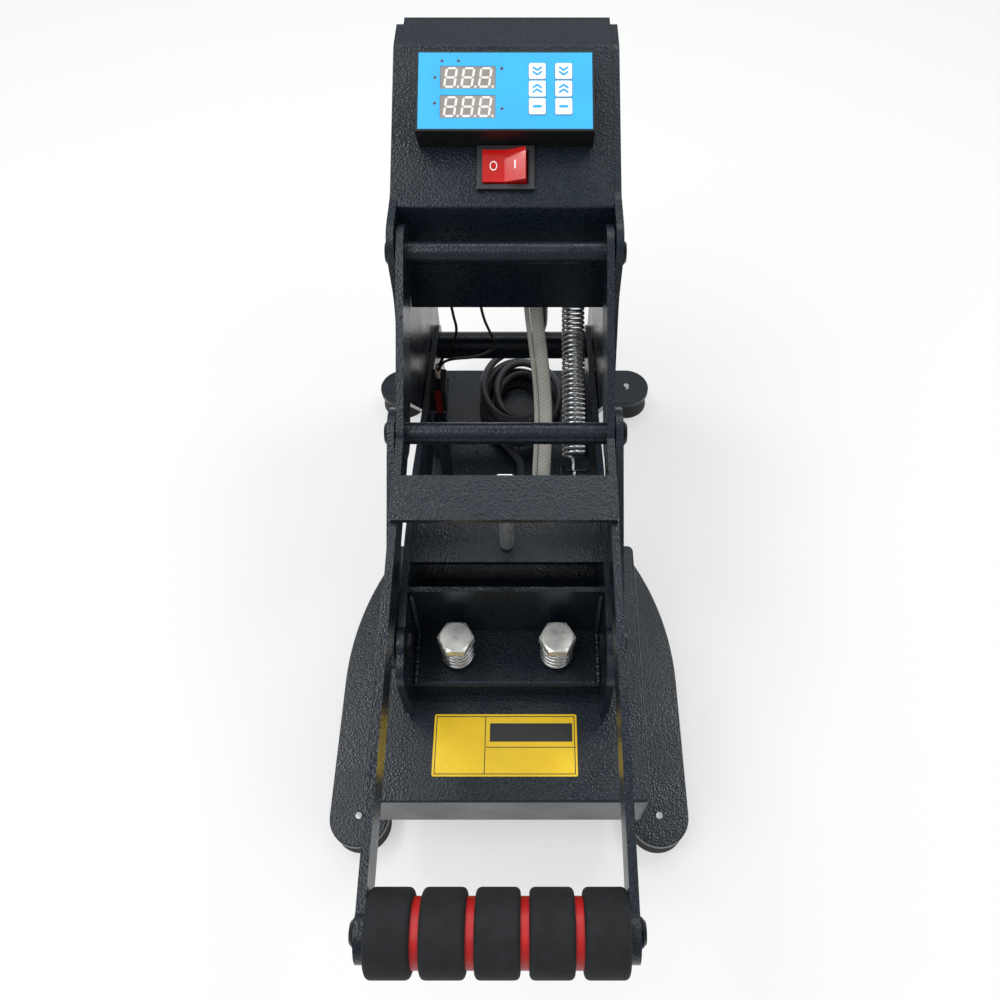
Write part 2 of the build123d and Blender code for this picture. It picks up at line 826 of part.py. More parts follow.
def handle_arm(x_start):
    """Lever and handle arm cut as one plate, with a knee at the link pivot."""
    with BuildPart() as arm:
        taper_at(lever_pivot, lever_end_r, link_pivot, knee_r, x_start, plate_t)
        taper_at(link_pivot, arm_r, grip_axis, arm_r, x_start, plate_t)
        rod_at(grip_axis, x_start, plate_t, grip_end_r)
        bore_at(lever_pivot, x_start, plate_t, pivot_r + run_fit)
        bore_at(link_pivot, x_start, plate_t, pivot_r + run_fit)
        bore_at(grip_axis, x_start, plate_t, pivot_r + slip)
    return arm


handle_arm_left = handle_arm(-inner_outer_x)
handle_arm_left.part.label = "handle_arm_left"
export_step(handle_arm_left.part, "parts/handle_arm_left.step")
handle_arm_right = handle_arm(inner_face_x)
handle_arm_right.part.label = "handle_arm_right"
export_step(handle_arm_right.part, "parts/handle_arm_right.step")

with BuildPart() as lever_tubes:
    for pivot in (lever_pivot, link_pivot):
        with BuildSketch(side_plane(-inner_face_x)):
            with Locations(pivot):
                Circle(tube_r)
                Circle(pivot_r + run_fit, mode=Mode.SUBTRACT)
        extrude(amount=2 * inner_face_x)
lever_tubes.part.label = "lever_tubes"
export_step(lever_tubes.part, "parts/lever_tubes.step")

# The crossbar lies on the top edges of the arms, at their slope
crossbar_mid_z = grip_axis[1] + (crossbar_y - grip_axis[0]) * tan(arm_slope)
arm_normal = Vector(0, -sin(arm_slope), cos(arm_slope))
crossbar_seat = Vector(0, crossbar_y, crossbar_mid_z) + arm_normal * arm_r
crossbar_plane = Plane(origin=crossbar_seat, x_dir=(1, 0, 0), z_dir=arm_normal)
with BuildPart() as handle_crossbar:
    with BuildSketch(crossbar_plane):
        Rectangle(2 * inner_outer_x, crossbar_d)
    extrude(amount=crossbar_t)
    fillet(handle_crossbar.edges().filter_by(Axis(crossbar_seat, arm_normal)), 1.5)
handle_crossbar.part.label = "handle_crossbar"
export_step(handle_crossbar.part, "parts/handle_crossbar.step")

with BuildPart() as grip_tube:
    with BuildSketch(side_plane(-inner_face_x)):
        with Locations(grip_axis):
            Circle(grip_tube_r)
            Circle(pivot_r + slip, mode=Mode.SUBTRACT)
    extrude(amount=2 * inner_face_x)
grip_tube.part.label = "grip_tube"
export_step(grip_tube.part, "parts/grip_tube.step")

with BuildPart() as grip_sleeve:
    with BuildSketch(side_plane(-inner_face_x + slip)):
        with Locations(grip_axis):
            Circle(grip_sleeve_r)
            Circle(grip_tube_r + run_fit, mode=Mode.SUBTRACT)
    extrude(amount=2 * (inner_face_x - slip))
grip_sleeve.part.label = "grip_sleeve"
export_step(grip_sleeve.part, "parts/grip_sleeve.step")

foam_span = 2 * (inner_face_x - slip)
foam_len = (foam_span - (foam_rings - 1) * foam_groove) / foam_rings
grip_line = Axis((0, grip_axis[0], grip_axis[1]), (1, 0, 0))
with BuildPart() as foam_grip:
    for i in range(foam_rings):
        ring_x = -foam_span / 2 + foam_len / 2 + i * (foam_len + foam_groove)
        ring_mid = grip_axis[1] + (grip_sleeve_r + run_fit + foam_r) / 2
        with BuildSketch(Plane.XZ.offset(-grip_axis[0])):
            with Locations((ring_x, ring_mid)):
                ring = Rectangle(foam_len, foam_r - grip_sleeve_r - run_fit)
            chamfer(ring.vertices().group_by(Axis.Y)[-1], foam_round * 0.7)
        revolve(axis=grip_line)
foam_grip.part.label = "foam_grip"
export_step(foam_grip.part, "parts/foam_grip.step")

with BuildPart() as grip_screws:
    for side in (-1, 1):
        low_head_at(grip_axis, side * inner_outer_x, side, grip_head_r, grip_head_h)
        shank = inner_outer_x - 24.0 if side > 0 else -inner_outer_x
        rod_at(grip_axis, shank, 24.0, pivot_r)
grip_screws.part.label = "grip_screws"
export_step(grip_screws.part, "parts/grip_screws.step")

stop_top = crossbar_mid_z + (stop_bolt_y - crossbar_y) * tan(arm_slope) + arm_r / cos(arm_slope)
stop_bottom = deck_top_z + seat_gap
stop_nut_z = stop_top - 1.0 - nut_h
with BuildPart() as stop_bolt:
    with BuildSketch(Plane.XY.offset(stop_bottom)):
        with Locations((0, stop_bolt_y)):
            Circle(stop_bolt_r)
    extrude(amount=stop_top - 0.4 - stop_bottom)
    chamfer(stop_bolt.faces().sort_by(Axis.Z)[0].edges(), 1.2)
    with BuildSketch(Plane.XY.offset(stop_nut_z)):
        with Locations((0, stop_bolt_y)):
            RegularPolygon(bolt_head_r, 6)
    extrude(amount=nut_h)
stop_bolt.part.label = "stop_bolt"
export_step(stop_bolt.part, "parts/stop_bolt.step")

# Bolt through the lower lever tube, on which both links turn
with BuildPart() as link_bolt:
    bolt_side = outer_outer_x + seat_gap
    rod_at(link_pivot, -bolt_side, 2 * bolt_side, pivot_r)
    low_head_at(link_pivot, -bolt_side, -1, pivot_head_r, pivot_head_h)
    low_head_at(link_pivot, bolt_side, 1, pivot_head_r, pivot_head_h)
link_bolt.part.label = "link_bolt"
export_step(link_bolt.part, "parts/link_bolt.step")


def link_plate(x_start):
    """One link between the lever's knee and the carriage."""
    with BuildPart() as link:
        taper_at(link_pivot, link_top_r, link_foot, link_foot_r, x_start, plate_t)
        bore_at(link_pivot, x_start, plate_t, pivot_r + run_fit)
        bore_at(link_foot, x_start, plate_t, pivot_r + run_fit)
    return link


link_left = link_plate(-outer_outer_x)
link_left.part.label = "link_left"
export_step(link_left.part, "parts/link_left.step")
link_right = link_plate(outer_face_x)
link_right.part.label = "link_right"
export_step(link_right.part, "parts/link_right.step")

# The lower link bolts are in two halves that meet between the layers
half_gap = layer_gap / 4
with BuildPart() as link_pins:
    for side in (-1, 1):
        pin_in = inner_outer_x + layer_gap / 2 + half_gap / 2
        pin_len_x = outer_outer_x - pin_in
        rod_at(link_foot, pin_in if side > 0 else -outer_outer_x, pin_len_x, pivot_r)
        low_head_at(link_foot, side * outer_outer_x, side, pivot_head_r, pivot_head_h)
link_pins.part.label = "link_pins"
export_step(link_pins.part, "parts/link_pins.step")


# Carriage: two side plates, a bent cross channel, a deck and a hinge tube
def carriage_plate(x_start):
    """One side plate of the carriage, with its ear for the link."""
    outline = [
        (carriage_front_y, carriage_bottom_z),
        (carriage_front_y, link_foot[1] + 4.0),
        (channel_web_y, carriage_top_z),
        (-12.5, carriage_top_z),
        (39.5, carriage_top_z - 7.0),
        (112.5, carriage_top_z - 28.0),
        (carriage_pivot[0] + 4.0, carriage_pivot[1] + carriage_end_r - 0.6),
        (carriage_pivot[0] - 2.0, carriage_pivot[1] - carriage_end_r + 0.2),
        (60.0, carriage_bottom_z),
    ]
    rounds = [8, 12, 10, 10, 30, 30, 0, 0, 60]
    with BuildPart() as plate:
        with BuildSketch(side_plane(x_start)):
            with BuildLine():
                FilletPolyline(*outline, radius=rounds, close=True)
            make_face()
            with Locations(carriage_pivot):
                Circle(carriage_end_r)
            with Locations(link_foot):
                Circle(ear_r)
        extrude(amount=plate_t)
        bore_at(link_foot, x_start, plate_t, pivot_r + run_fit)
        bore_at(carriage_pivot, x_start, plate_t, hinge_bolt_r + run_fit)
        bore_at(lift_foot, x_start, plate_t, lift_post_r + run_fit)
    return plate


carriage_plate_left = carriage_plate(-inner_outer_x)
carriage_plate_left.part.label = "carriage_plate_left"
export_step(carriage_plate_left.part, "parts/carriage_plate_left.step")
carriage_plate_right = carriage_plate(inner_face_x)
carriage_plate_right.part.label = "carriage_plate_right"
export_step(carriage_plate_right.part, "parts/carriage_plate_right.step")

with BuildPart() as cross_channel:
    with BuildSketch(side_plane(-inner_face_x)):
        with BuildLine():
            Polyline(
                (channel_front_y, cover_top_z + seat_gap),
                (channel_front_y, channel_top_z),
                (channel_web_y, channel_top_z),
                (channel_web_y, web_top_z),
            )
            offset(amount=channel_t, side=Side.RIGHT, kind=Kind.INTERSECTION)
        make_face()
    extrude(amount=2 * inner_face_x)
    front_bend = cross_channel.edges().sort_by_distance((0, channel_front_y, channel_top_z))[0]
    fillet(front_bend, channel_t * 0.8)
    with BuildSketch(Plane.XY.offset(channel_top_z)):
        with Locations((platen_bolt_x, platen_bolt_y), (-platen_bolt_x, platen_bolt_y)):
            Circle(platen_bolt_r + seat_gap)
    extrude(amount=-channel_t, mode=Mode.SUBTRACT)
cross_channel.part.label = "cross_channel"
export_step(cross_channel.part, "parts/cross_channel.step")

with BuildPart() as carriage_deck:
    with BuildSketch(Plane.XY.offset(deck_top_z - deck_t)):
        with Locations((0, (deck_front_y + deck_rear_y) / 2)):
            Rectangle(2 * inner_face_x, deck_rear_y - deck_front_y)
    extrude(amount=deck_t)
carriage_deck.part.label = "carriage_deck"
export_step(carriage_deck.part, "parts/carriage_deck.step")

with BuildPart() as hinge_tube:
    with BuildSketch(side_plane(-inner_face_x)):
        with Locations(carriage_pivot):
            Circle(hinge_tube_r)
            Circle(hinge_bolt_r + run_fit, mode=Mode.SUBTRACT)
    extrude(amount=2 * inner_face_x)
hinge_tube.part.label = "hinge_tube"
export_step(hinge_tube.part, "parts/hinge_tube.step")

# Studs of the carriage: inner halves of the link bolts, and the spring post
stud_out = inner_outer_x + layer_gap / 2 - half_gap / 2
stud_len = plate_t + pivot_nut_h + 0.6
post_in = lift_x - 8.0
with BuildPart() as carriage_studs:
    for side in (-1, 1):
        stud_start = stud_out - stud_len if side > 0 else -stud_out
        rod_at(link_foot, stud_start, stud_len, pivot_r)
        nut_start = inner_face_x - pivot_nut_h if side > 0 else -inner_face_x
        hex_at(link_foot, nut_start, pivot_nut_h, bolt_head_r)
    rod_at(lift_foot, post_in, inner_outer_x - post_in, lift_post_r)
    hex_at(lift_foot, inner_face_x - nut_h, nut_h, bolt_head_r)
    hex_at(lift_foot, post_in, 3.5, bolt_head_r)
carriage_studs.part.label = "carriage_studs"
export_step(carriage_studs.part, "parts/carriage_studs.step")

# Heater: cover, block, insulation and the two sprung bolts that hold it
cover_mid = (0, cover_y)
cover_bottom_z = cover_top_z - cover_h
insulation_z = heater_bottom_z + heater_t + slip
bolt_places = [(platen_bolt_x, platen_bolt_y), (-platen_bolt_x, platen_bolt_y)]
with BuildPart() as heater_cover:
    with BuildSketch(Plane.XY.offset(cover_bottom_z)):
        with Locations(cover_mid):
            RectangleRounded(cover_w, cover_d, cover_round)
    extrude(amount=cover_h)
    fillet(heater_cover.faces().sort_by(Axis.Z)[-1].edges(), cover_sheet)
    with BuildSketch(Plane.XY.offset(cover_bottom_z)):
        with Locations(cover_mid):
            RectangleRounded(cover_w - 2 * cover_sheet, cover_d - 2 * cover_sheet, cover_round - cover_sheet)
    extrude(amount=cover_h - cover_sheet, mode=Mode.SUBTRACT)
    with BuildSketch(Plane.XY.offset(cover_top_z)):
        with Locations(*bolt_places):
            Circle(platen_bolt_r + slip)
    extrude(amount=-cover_sheet, mode=Mode.SUBTRACT)
    slot_plane = Plane(origin=(slot_mid_x, cover_y + cover_d / 2, lead_in_z), x_dir=(1, 0, 0), z_dir=(0, 1, 0))
    with BuildSketch(slot_plane):
        SlotOverall(slot_len, sleeve_t + 2 * seat_gap)
    extrude(amount=-2 * cover_sheet, mode=Mode.SUBTRACT)
heater_cover.part.label = "heater_cover"
export_step(heater_cover.part, "parts/heater_cover.step")

with BuildPart() as heater_block:
    with BuildSketch(Plane.XY.offset(heater_bottom_z)):
        with Locations(cover_mid):
            RectangleRounded(heater_w, heater_d, pad_round)
    extrude(amount=heater_t)
    with BuildSketch(Plane.XY.offset(heater_bottom_z + heater_t)):
        with Locations(*bolt_places):
            Circle(platen_bolt_r + run_fit)
    extrude(amount=-bolt_depth, mode=Mode.SUBTRACT)
heater_block.part.label = "heater_block"
export_step(heater_block.part, "parts/heater_block.step")

with BuildPart() as insulation:
    with BuildSketch(Plane.XY.offset(insulation_z)):
        with Locations(cover_mid):
            Rectangle(heater_w, heater_d)
        with Locations(*bolt_places):
            Circle(platen_bolt_r + slip, mode=Mode.SUBTRACT)
    extrude(amount=insulation_t)
insulation.part.label = "insulation"
export_step(insulation.part, "parts/insulation.step")

bolt_end_z = heater_bottom_z + heater_t - bolt_depth + slip
with BuildPart() as platen_bolts:
    for place in bolt_places:
        spot = Plane.XY.shift_origin((*place, 0))
        with BuildSketch(spot.offset(bolt_end_z)):
            Circle(platen_bolt_r)
        extrude(amount=platen_head_z - bolt_end_z)
        with BuildSketch(spot.offset(platen_head_z)):
            RegularPolygon(platen_head_r, 6)
        extrude(amount=platen_head_h)
platen_bolts.part.label = "platen_bolts"
export_step(platen_bolts.part, "parts/platen_bolts.step")


# Springs, wound as one unbroken tube each
def helix_stations(origin, along, side, radius, pitch, turns):
    """Points and ways of a helix at every quarter turn."""
    other = along.cross(side)
    rise = pitch / (2 * pi)
    stations = []
    for i in range(int(round(turns * 4)) + 1):
        angle = i * pi / 2
        spoke = side * cos(angle) + other * sin(angle)
        way = (other * cos(angle) - side * sin(angle)) * radius + along * rise
        stations.append((origin + spoke * radius + along * (rise * angle), way.normalized()))
    return stations


spring_low = channel_top_z + platen_wire / 2 + 0.1
spring_high = platen_head_z - platen_wire / 2 - 0.1
platen_pitch = (spring_high - spring_low) / platen_turns
with BuildPart() as platen_springs:
    for place in bolt_places:
        with BuildLine() as spring_path:
            draw_biarcs(
                helix_stations(
                    Vector(*place, spring_low), Vector(0, 0, 1), Vector(1, 0, 0), platen_spring_r, platen_pitch, platen_turns
                )
            )
        spring_wire = spring_path.wires()[0]
        with BuildSketch(Plane(origin=spring_wire @ 0, z_dir=spring_wire % 0)):
            Circle(platen_wire / 2)
        sweep(path=spring_wire)
platen_springs.part.label = "platen_springs"
export_step(platen_springs.part, "parts/platen_springs.step")
self_gap(spring_wire, platen_wire / 2, "platen spring", 1.5, 2 * platen_spring_r)

lift_start = Vector(lift_x, *lift_foot)
lift_end = Vector(lift_x, *lift_head)
lift_way = (lift_end - lift_start).normalized()
lift_out = Vector(1, 0, 0)
lift_up = lift_way.cross(lift_out)
hook_r = lift_post_r + lift_wire / 2 + seat_gap
coil_foot = lift_start + lift_way * lift_eye
coil_len = (lift_end - lift_start).length - 2 * lift_eye
lift_pitch = coil_len / lift_turns
coil = helix_stations(coil_foot, lift_way, lift_up, lift_spring_r, lift_pitch, lift_turns)


def hook(centre, away, up):
    """Stations of an open hook round a post, from the coil's side round the far side."""
    return [
        (centre + up * hook_r, away),
        (centre + away * hook_r, up * -1),
        (centre - up * hook_r, away * -1),
        (centre - up * hook_r - away * lift_wire, away * -1),
    ]


head_hook = hook(lift_end, lift_way, lift_up)
foot_hook = [(p, w * -1) for p, w in reversed(hook(lift_start, lift_way * -1, lift_up))]
with BuildLine() as lift_path:
    draw_biarcs(foot_hook + coil + head_hook)
lift_spring = round_tube(lift_path, lift_wire / 2, "lift spring")
lift_spring.part.label = "lift_spring"
export_step(lift_spring.part, "parts/lift_spring.step")
self_gap(lift_path.wires()[0], lift_wire / 2, "lift spring", 2.0, 12.0)

# Limit switch with its plunger, on the inner face of the left carriage plate
switch_mid_x = -inner_face_x + slip + switch_w / 2
with BuildPart() as limit_switch:
    with BuildSketch(Plane.XY.offset(switch_z)):
        with Locations((switch_mid_x, switch_front_y + switch_d / 2)):
            Rectangle(switch_w, switch_d)
    extrude(amount=switch_h)
    with BuildSketch(Plane.XY.offset(switch_z)):
        with Locations((switch_mid_x, switch_front_y + plunger_d / 2)):
            Rectangle(plunger_w + 2 * slip, plunger_d + 2 * slip)
    extrude(amount=switch_h, mode=Mode.SUBTRACT)
    for offset_y in (6.0, 11.0, 16.0):
        with BuildSketch(Plane.XY.offset(switch_z + switch_h)):
            with Locations((switch_mid_x, switch_front_y + offset_y)):
                Rectangle(4.0, 0.8)
        extrude(amount=6.0)
limit_switch.part.label = "limit_switch"
export_step(limit_switch.part, "parts/limit_switch.step")

with BuildPart() as switch_plunger:
    with BuildSketch(Plane.XY.offset(switch_z - plunger_out)):
        with Locations((switch_mid_x, switch_front_y + plunger_d / 2)):
            Rectangle(plunger_w, plunger_d)
    extrude(amount=switch_h)
switch_plunger.part.label = "switch_plunger"
export_step(switch_plunger.part, "parts/switch_plunger.step")

# Leads from the control box to the heater and the switch, each held at both ends
sleeve_route = [
    Vector(16.0, 140.5, 214.0),
    Vector(16.5, 140.5, 193.0),
    Vector(19.5, 134.5, 165.0),
    Vector(23.0, 118.5, 141.0),
    Vector(24.0, 98.5, 122.0),
    Vector(22.5, 74.5, 103.0),
    Vector(21.0, 50.0, 89.5),
    Vector(sleeve_in_x, lead_in_y, lead_in_z),
]
with BuildPart() as heater_sleeve:
    with BuildLine() as sleeve_path:
        FilletPolyline(*sleeve_route, radius=bend_radii(sleeve_route))
    sleeve_wire = sleeve_path.wires()[0]
    with BuildSketch(Plane(origin=sleeve_wire @ 0, x_dir=(1, 0, 0), z_dir=sleeve_wire % 0)):
        Ellipse(sleeve_w / 2, sleeve_t / 2)
    sweep(path=sleeve_wire)
heater_sleeve.part.label = "heater_sleeve"
export_step(heater_sleeve.part, "parts/heater_sleeve.step")

sensor_route = [
    Vector(9.9, 140.6, 214.0),
    Vector(10.4, 140.6, 193.0),
    Vector(13.4, 134.6, 165.0),
    Vector(16.9, 118.7, 141.0),
    Vector(17.9, 98.7, 122.0),
    Vector(16.4, 74.7, 103.0),
    Vector(15.0, 50.0, 89.5),
    Vector(sensor_in_x, lead_in_y, lead_in_z),
]
switch_wire_routes = [
    [
        Vector(-36.0, 128.0, 214.0),
        Vector(-35.0, 128.0, 196.0),
        Vector(-33.0, 129.0, 182.0),
        Vector(-37.0, 130.0, 166.0),
        Vector(-44.0, 130.5, 156.0),
        Vector(switch_mid_x, switch_front_y + 16.0, 144.3),
    ],
    [
        Vector(-18.0, 128.0, 214.0),
        Vector(-17.0, 128.0, 196.0),
        Vector(-12.0, 129.0, 178.0),
        Vector(-8.0, 128.0, 165.0),
        Vector(-22.0, 126.0, 159.0),
        Vector(-38.0, 126.0, 158.0),
        Vector(-46.0, 125.6, 154.0),
        Vector(switch_mid_x, switch_front_y + 11.0, 144.3),
    ],
]
lead_runs = [(sensor_route, sensor_r)] + [(route, wire_r) for route in switch_wire_routes]
with BuildPart() as control_leads:
    for route, radius in lead_runs:
        with BuildLine() as lead_path:
            FilletPolyline(*route, radius=bend_radii(route))
        lead_wire = lead_path.wires()[0]
        with BuildSketch(Plane(origin=lead_wire @ 0, z_dir=lead_wire % 0)):
            Circle(radius)
        sweep(path=lead_wire)
control_leads.part.label = "control_leads"
export_step(control_leads.part, "parts/control_leads.step")

# Mains cord: gland in the box floor, a free lead, a loose hank on the base, a plug
with BuildPart() as cord_gland:
    with BuildSketch(Plane.XY.offset(box_bottom_z - gland_flange_t)):
        with Locations((gland_x, gland_y)):
            Circle(gland_flange_r)
    extrude(amount=gland_flange_t)
    with BuildSketch(Plane.XY.offset(box_bottom_z)):
        with Locations((gland_x, gland_y)):
            Circle(gland_top_r)
    extrude(amount=3 * sheet_t)
    with BuildSketch(Plane.XY.offset(box_bottom_z - gland_flange_t)):
        with Locations((gland_x, gland_y)):
            Circle(gland_top_r)
    with BuildSketch(Plane.XY.offset(box_bottom_z - gland_len)):
        with Locations((gland_x, gland_y)):
            Circle(gland_tip_r)
    loft()
cord_gland.part.label = "cord_gland"
export_step(cord_gland.part, "parts/cord_gland.step")

hank_pitch_z = 2 * cord_r + hank_layer_gap
hank_floor = base_top + cord_r + seat_gap
hank_top = hank_floor + (hank_layers - 1) * hank_pitch_z
climb = 180.0
hank_sweep = 360.0 * hank_rounds + hank_end - hank_start
layer_sweep = (hank_sweep - (hank_layers - 1) * climb) / hank_layers
hank_draw_in = hank_step * layer_sweep / 360.0


def hank_station(angle, drawn_in, height):
    """One point of the hank and the way the cord runs there, round an oval."""
    half_x = hank_half_x - drawn_in
    half_y = hank_half_y - drawn_in
    turn = radians(angle)
    point = Vector(hank_centre[0] + half_x * cos(turn), hank_centre[1] + half_y * sin(turn), height)
    return point, Vector(-half_x * sin(turn), half_y * cos(turn), 0).normalized()


hank_stations = []
angle = hank_start
for layer in range(hank_layers):
    height = hank_top - layer * hank_pitch_z
    steps = 4
    for i in range(steps + 1):
        share = i / steps
        drawn_in = hank_draw_in * (share if layer % 2 == 0 else 1 - share)
        hank_stations.append(hank_station(angle + share * layer_sweep, drawn_in, height))
    angle += layer_sweep
    if layer < hank_layers - 1:
        hank_stations.append(hank_station(angle + climb / 2, drawn_in, height - hank_pitch_z / 2))
        angle += climb
plug_mid_z = base_top + seat_gap + plug_h / 2
tail_way = Vector(0, -1, 0)
tail_stations = [
    (Vector(plug_back[0], plug_back[1] + 4 * cord_r, plug_mid_z), tail_way),
    (Vector(plug_back[0], plug_back[1], plug_mid_z), tail_way),
]
with BuildLine() as hank_path:
    draw_biarcs(hank_stations + tail_stations)
cord_hank = round_tube(hank_path, cord_r, "cord hank")
cord_hank.part.label = "cord_hank"
export_step(cord_hank.part, "parts/cord_hank.step")
self_gap(hank_path.wires()[0], cord_r, "cord hank", 3.0, 60.0)

hank_first, hank_way = hank_stations[0]
cord_route = [
    Vector(gland_x, gland_y, box_bottom_z - gland_len),
    Vector(gland_x, gland_y, 165.0),
    Vector(22.5, 225.5, 140.0),
    Vector(23.5, 235.5, 112.0),
    Vector(24.3, 244.5, 86.0),
    Vector(24.3, 248.1, 61.9),
    Vector(17.7, 245.7, 49.8),
    hank_first - hank_way * 10.0,
    hank_first,
]
cord_radii = bend_radii(cord_route)
print("cord bend radii", [round(r, 1) for r in cord_radii])
with BuildLine() as cord_path:
    FilletPolyline(*cord_route, radius=cord_radii)
power_cord = round_tube(cord_path, cord_r, "power cord")
power_cord.part.label = "power_cord"
export_step(power_cord.part, "parts/power_cord.step")
print("cord length", round(cord_path.wires()[0].length + hank_path.wires()[0].length, 1))

pin_r = 2.0
pin_spacing = 19.0
with BuildPart() as mains_plug:
    plug_face_y = plug_back[1] - plug_len
    with BuildSketch(Plane.XZ.offset(-(plug_back[1] - plug_neck)).shift_origin((plug_back[0], plug_back[1] - plug_neck, plug_mid_z))):
        RectangleRounded(plug_w, plug_h, plug_h * 0.3)
    extrude(amount=plug_len - plug_neck)
    with BuildSketch(Plane.XZ.offset(-plug_back[1]).shift_origin((plug_back[0], plug_back[1], plug_mid_z))):
        Circle(gland_tip_r)
    with BuildSketch(
        Plane.XZ.offset(-(plug_back[1] - plug_neck)).shift_origin((plug_back[0], plug_back[1] - plug_neck, plug_mid_z))
    ):
        Circle(gland_flange_r)
    loft()
    with BuildSketch(Plane.XZ.offset(-plug_face_y).shift_origin((plug_back[0], plug_face_y, plug_mid_z))):
        with Locations((-pin_spacing / 2, 0), (pin_spacing / 2, 0)):
            Circle(pin_r)
    extrude(amount=pin_len)
mains_plug.part.label = "mains_plug"
export_step(mains_plug.part, "parts/mains_plug.step")
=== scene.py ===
from math import cos, pi, radians, sin

import bmesh
import bpy
from mathutils import Matrix, Vector


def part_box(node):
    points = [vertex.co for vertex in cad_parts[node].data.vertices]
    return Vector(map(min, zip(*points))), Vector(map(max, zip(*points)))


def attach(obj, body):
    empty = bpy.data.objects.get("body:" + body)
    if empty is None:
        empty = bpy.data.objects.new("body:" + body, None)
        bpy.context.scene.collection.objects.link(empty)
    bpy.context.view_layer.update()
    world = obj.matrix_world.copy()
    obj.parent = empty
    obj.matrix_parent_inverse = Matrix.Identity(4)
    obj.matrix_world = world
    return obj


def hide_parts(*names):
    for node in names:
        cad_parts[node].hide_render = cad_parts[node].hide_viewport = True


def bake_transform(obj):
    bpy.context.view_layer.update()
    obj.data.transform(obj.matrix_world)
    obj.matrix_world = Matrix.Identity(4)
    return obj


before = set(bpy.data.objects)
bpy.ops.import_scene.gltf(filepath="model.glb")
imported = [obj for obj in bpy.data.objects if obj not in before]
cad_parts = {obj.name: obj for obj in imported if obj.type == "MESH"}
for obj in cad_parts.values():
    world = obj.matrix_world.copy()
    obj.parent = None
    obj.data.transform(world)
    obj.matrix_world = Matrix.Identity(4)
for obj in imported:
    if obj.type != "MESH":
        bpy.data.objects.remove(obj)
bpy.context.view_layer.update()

bl_info = {
    "name": "Clamshell Heat Press",
    "version": (1, 0, 0),
    "blender": (4, 5, 0),
    "location": "View3D > Sidebar > Press",
    "description": "Finishes, springs, leads, cord, markings and stage of a small clamshell heat press",
    "category": "Object",
}

MM = 0.001

# The sloping panel and the middle of the grip, in metres
PANEL_TILT = radians(25.5)
PANEL_FOOT = Vector((0, 0.122, 0.323 - 0.0855 * sin(PANEL_TILT) / cos(PANEL_TILT)))
PANEL_UP = Vector((0, cos(PANEL_TILT), sin(PANEL_TILT)))
PANEL_OUT = Vector((0, -sin(PANEL_TILT), cos(PANEL_TILT)))
GRIP = Vector((0, -0.2215, 0.191))
# Distances up the panel's slope and out of it, in mm
FACE_UP = 57.5
FACE_OUT = 16.0
KEY_OUT = 16.6
ROCKER_UP = 21.6


def linear(colour):
    """Turn an sRGB hex colour into the linear colour that a shader takes."""
    values = [int(colour[i:i + 2], 16) / 255 for i in (1, 3, 5)]
    return tuple(v / 12.92 if v <= 0.04045 else ((v + 0.055) / 1.055) ** 2.4 for v in values) + (1.0,)


def add_node(tree, kind, sockets=(), stops=(), **settings):
    """Add a node, set its properties, and give its inputs a value or a link."""
    node = tree.nodes.new(kind)
    for name, value in settings.items():
        setattr(node, name, value)
    for i, (place, colour) in enumerate(stops):
        element = node.color_ramp.elements[i] if i < 2 else node.color_ramp.elements.new(place)
        element.position = place
        element.color = linear(colour)
    for name, value in dict(sockets).items():
        if isinstance(value, bpy.types.NodeSocket):
            tree.links.new(value, node.inputs[name])
        else:
            node.inputs[name].default_value = value
    return node


def new_material(name, **sockets):
    """A material with its shader, and the position on the piece that patterns read."""
    material = bpy.data.materials.new(name)
    material.use_nodes = True
    tree = material.node_tree
    tree.nodes.clear()
    values = {key.replace("_", " "): value for key, value in sockets.items()}
    shader = add_node(tree, "ShaderNodeBsdfPrincipled", values)
    add_node(tree, "ShaderNodeOutputMaterial", {"Surface": shader.outputs["BSDF"]})
    place = add_node(tree, "ShaderNodeTexCoord").outputs["Object"]
    return material, tree, shader, place


def tint_by(tree, shader, value, *stops):
    """Colour the shader along a ramp, by a value."""
    tint = add_node(tree, "ShaderNodeValToRGB", {"Fac": value}, stops=stops)
    tree.links.new(tint.outputs["Color"], shader.inputs["Base Color"])


def gloss_by(tree, shader, value, low, high):
    """Let the roughness run from low to high with a noise."""
    span = {"Value": value, "From Min": 0.3, "From Max": 0.7, "To Min": low, "To Max": high}
    gloss = add_node(tree, "ShaderNodeMapRange", span)
    tree.links.new(gloss.outputs["Result"], shader.inputs["Roughness"])


def bump_by(tree, shader, *layers):
    """Stack bumps, the finest first: a height, a strength and a depth in metres each."""
    under = {}
    for height, strength, depth in layers:
        bump = add_node(tree, "ShaderNodeBump", {"Strength": strength, "Distance": depth, "Height": height, **under})
        under = {"Normal": bump.outputs["Normal"]}
    tree.links.new(bump.outputs["Normal"], shader.inputs["Normal"])


def noise_of(tree, place, size, detail):
    """A noise with spots of a size in metres."""
    noise = add_node(tree, "ShaderNodeTexNoise", {"Vector": place, "Scale": 1 / size, "Detail": detail})
    return noise.outputs["Fac"]


def hammertone_powder_coat():
    """Blue-black hammertone powder coat: glossy film with flat dimples about 1.1 mm apart."""
    material, tree, shader, place = new_material("hammertone_powder_coat", Roughness=0.3, Specular_IOR_Level=0.36)
    cells = add_node(tree, "ShaderNodeTexVoronoi", {"Vector": place, "Scale": 1 / 0.0011}, feature="SMOOTH_F1")
    dimple = cells.outputs["Distance"]
    grain = noise_of(tree, place, 0.0007, 2.0)
    cloud = noise_of(tree, place, 0.03, 3.0)
    tint_by(tree, shader, dimple, (0.15, "#18232d"), (0.75, "#0c1219"))
    gloss_by(tree, shader, cloud, 0.22, 0.34)
    bump_by(tree, shader, (grain, 0.25, 0.0001), (dimple, 0.85, 0.00022))
    return material


